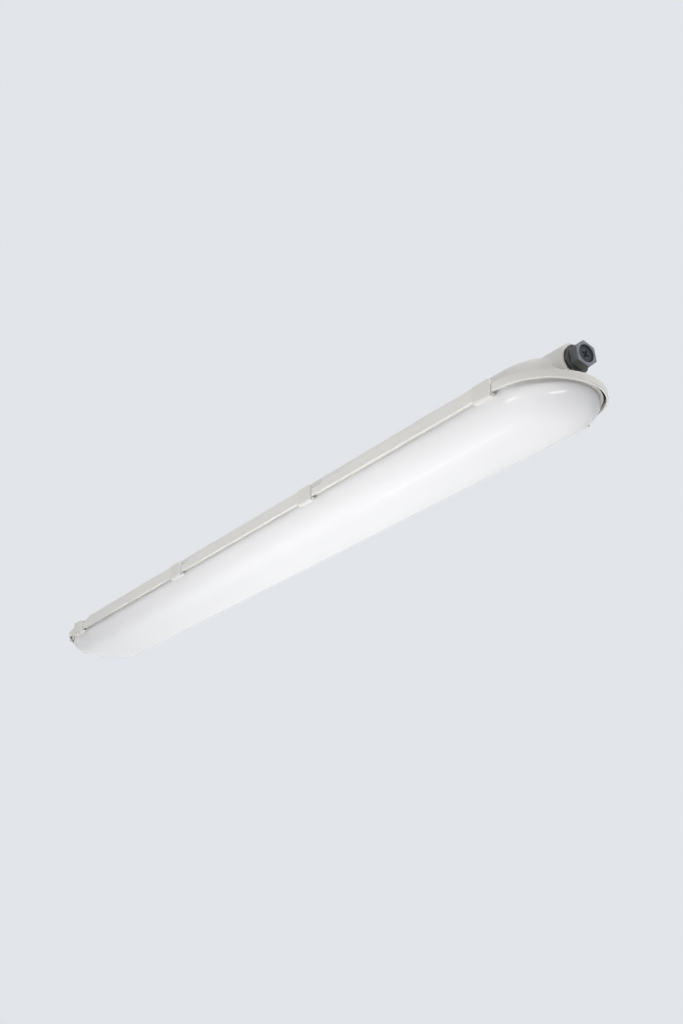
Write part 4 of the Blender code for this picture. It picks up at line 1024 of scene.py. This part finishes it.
def dress_membrane():
    """Rubber disc in the cap's mouth."""
    front = CAP_END - INSERT_RECESS
    base = bmesh.new()
    add_rod(base, (front - INSERT_THICKNESS, 0, GLAND_HEIGHT), "x", INSERT_THICKNESS, INSERT_RADIUS,
            ROUND_SIDES)
    soften(base, MEMBRANE_ROUND, steps=4)
    mesh = combined("membrane", base, cuts=[membrane_slits(front)])
    dress("gland_membrane", mesh, MEMBRANE, "fixture", ["gland_insert"])


# Solids that keep their shape

def finish_nodes():
    """Gives the solids that show as they are their materials. Every screw is steel."""
    kept = {
        "gland_locknut": GLAND_PLASTIC, "gear_tray": WHITE_STEEL, "led_board_1": SOLDER_MASK,
        "led_board_2": SOLDER_MASK, "board_link": WHITE_PLUG, "board_connector": WHITE_PLUG,
        "driver_case": WHITE_PLUG, "terminal_block": WHITE_PLUG, "bracket_gland_end": STEEL,
        "bracket_far_end": STEEL, **INSULATION,
    }
    for name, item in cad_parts.items():
        material = STEEL if "screw" in name else kept.get(name)
        if material:
            item.data.materials.clear()
            item.data.materials.append(material)


# Stage, light and camera

BACKGROUND = (0.760, 0.783, 0.823, 1)
WHITE = (1, 1, 1, 1)
AMBIENT = 0.03
FLOOR_SHARE = 0.8
FLOOR_SIZE = 9
FLOOR_HEIGHT = -2.75
FLOOR_DIVISIONS = 8

LAMP_AIM = (0.2, 0, -0.05)

# Each soft lamp is a square that shows in no highlight: name, place, width, power.
SOFT_LAMPS = [
    ("below_end", (1.569, -1.319, -1.216), 0.9, 4.6),
    ("below_back", (-1.069, 1.319, -1.216), 0.9, 15.2),
    ("front", (-0.770, -1.767, 0.774), 0.9, 9.8),
    ("front_end", (2.017, -1.020, 0.774), 0.9, 10.6),
    ("above_far", (-0.975, -0.707, 1.635), 0.9, 10.8),
    ("above_back", (1.093, 1.459, 1.364), 0.9, 28.0),
    ("end", (2.429, 0, 0.256), 0.9, 7.6),
    ("under_front", (0.2, -0.7, -1.0), 0.7, 6.6),
    ("under_far", (0.1, 0, -1.1), 0.7, 3.5),
]

NEAR_DOME = (0.54, -0.04, -0.06)
FAR_BOWL = (-1.05, -0.03, -0.07)

# Each streak lamp is a strip that the bowl reflects: name, place, aim, length and width, power, and the
# way that its length runs.
STREAK_LAMPS = [
    ("left", (-0.30, -1.50, -1.14), NEAR_DOME, (0.90, 0.17), 1.8, (0.85, -0.13, -0.44)),
    ("right", (1.66, 0.44, -1.64), NEAR_DOME, (0.90, 0.29), 2.8, (0.16, 0.82, 0.36)),
    ("band", (-1.05, 0.85, -1.16), FAR_BOWL, (0.7, 0.16), 0.26, (1, 0, 0)),
]

CAMERA_PLACE = (1.4616, -0.8667, -0.6532)
CAMERA_YAW = math.radians(33.4582)
CAMERA_PITCH = math.radians(21.1573)
CAMERA_LENS = 48.505
SENSOR_WIDTH = 36
NEAREST_SEEN = 0.01


def seen_directly(tree):
    """One for the rays of the view, of reflections and through clear things, and zero for the rest."""
    paths = tree.nodes.new("ShaderNodeLightPath")
    total = paths.outputs["Is Camera Ray"]
    for kind in ("Is Glossy Ray", "Is Transmission Ray"):
        larger = tree.nodes.new("ShaderNodeMath")
        larger.operation = "MAXIMUM"
        tree.links.new(total, larger.inputs[0])
        tree.links.new(paths.outputs[kind], larger.inputs[1])
        total = larger.outputs[0]
    return total


def mixed_shader(tree, share, first, second):
    """The first shader where the share is zero, and the second where it is one."""
    mix = tree.nodes.new("ShaderNodeMixShader")
    tree.links.new(share, mix.inputs["Fac"])
    tree.links.new(first.outputs[0], mix.inputs[1])
    tree.links.new(second.outputs[0], mix.inputs[2])
    return mix.outputs[0]


def make_world():
    """Pale background for what is seen, and a weak even light for the rest."""
    world = bpy.data.worlds.new("studio")
    world.use_nodes = True
    tree = world.node_tree
    tree.nodes.clear()
    seen = tree.nodes.new("ShaderNodeBackground")
    seen.inputs["Color"].default_value = BACKGROUND
    lit = tree.nodes.new("ShaderNodeBackground")
    lit.inputs["Color"].default_value = WHITE
    lit.inputs["Strength"].default_value = AMBIENT
    output = tree.nodes.new("ShaderNodeOutputWorld")
    tree.links.new(mixed_shader(tree, seen_directly(tree), lit, seen), output.inputs["Surface"])
    bpy.context.scene.world = world


def floor_material():
    """Pale floor: mostly its own colour where it is seen, and the rest from the light and shadow on it."""
    material = plastic("pale_floor", BACKGROUND[:3], roughness=0.8, spread=0.01, grain=0.01)
    tree = material.node_tree
    own = tree.nodes.new("ShaderNodeEmission")
    own.inputs["Color"].default_value = BACKGROUND
    share = tree.nodes.new("ShaderNodeMath")
    share.operation = "MULTIPLY"
    share.inputs[1].default_value = FLOOR_SHARE
    tree.links.new(seen_directly(tree), share.inputs[0])
    surface = mixed_shader(tree, share.outputs[0], tree.nodes["Principled BSDF"], own)
    tree.links.new(surface, tree.nodes["Material Output"].inputs["Surface"])
    return material


def make_floor():
    """Wide floor well below the fixture."""
    shape = bmesh.new()
    bmesh.ops.create_grid(shape, x_segments=FLOOR_DIVISIONS, y_segments=FLOOR_DIVISIONS, size=FLOOR_SIZE)
    item = put_in_scene("studio_floor", finish_mesh(shape, "studio_floor"))
    item.location = (0, 0, FLOOR_HEIGHT)
    item.data.materials.append(floor_material())


def add_lamp(name, place, aim, size, power, along=None):
    """Adds a rectangular lamp. One whose long side runs along a given way shows as a highlight."""
    light = bpy.data.lights.new(name, "AREA")
    light.shape = "RECTANGLE"
    light.size, light.size_y = size
    light.energy = power
    ray = (Vector(aim) - Vector(place)).normalized()
    if along:
        side = (Vector(along) - ray * ray.dot(Vector(along))).normalized()
        turn = Matrix((side, side.cross(ray), -ray)).transposed()
    else:
        turn = ray.to_track_quat("-Z", "Y").to_matrix()
    item = put_in_scene(name, light)
    item.matrix_world = Matrix.Translation(place) @ turn.to_4x4()
    item.visible_camera = False
    item.visible_glossy = bool(along)


def make_lights():
    """Soft light from all round, and the streaks on the bowl."""
    for name, place, width, power in SOFT_LAMPS:
        add_lamp("soft_" + name, place, LAMP_AIM, (width, width), power)
    for name, place, aim, size, power, along in STREAK_LAMPS:
        add_lamp("streak_" + name, place, aim, size, power, along)


def make_camera():
    """Camera below the gland's end, which looks up and along the fixture."""
    flat = math.cos(CAMERA_PITCH)
    ahead = Vector((-flat * math.cos(CAMERA_YAW), flat * math.sin(CAMERA_YAW), math.sin(CAMERA_PITCH)))
    right = ahead.cross(Vector((0, 0, 1))).normalized()
    above = right.cross(ahead)
    turn = Matrix((right, above, -ahead)).transposed().to_4x4()
    camera = bpy.data.cameras.new("camera")
    camera.sensor_fit = "AUTO"
    camera.sensor_width = SENSOR_WIDTH
    camera.lens = CAMERA_LENS
    camera.clip_start = NEAREST_SEEN
    item = put_in_scene("camera", camera)
    item.matrix_world = Matrix.Translation(CAMERA_PLACE) @ turn
    bpy.context.scene.camera = item


dress_housing()
dress_diffuser()
dress_gasket()
dress_clips()
dress_seal()
dress_collar()
dress_cap()
dress_membrane()
finish_nodes()
make_world()
make_floor()
make_lights()
make_camera()
bpy.context.scene.view_settings.view_transform = "Standard"
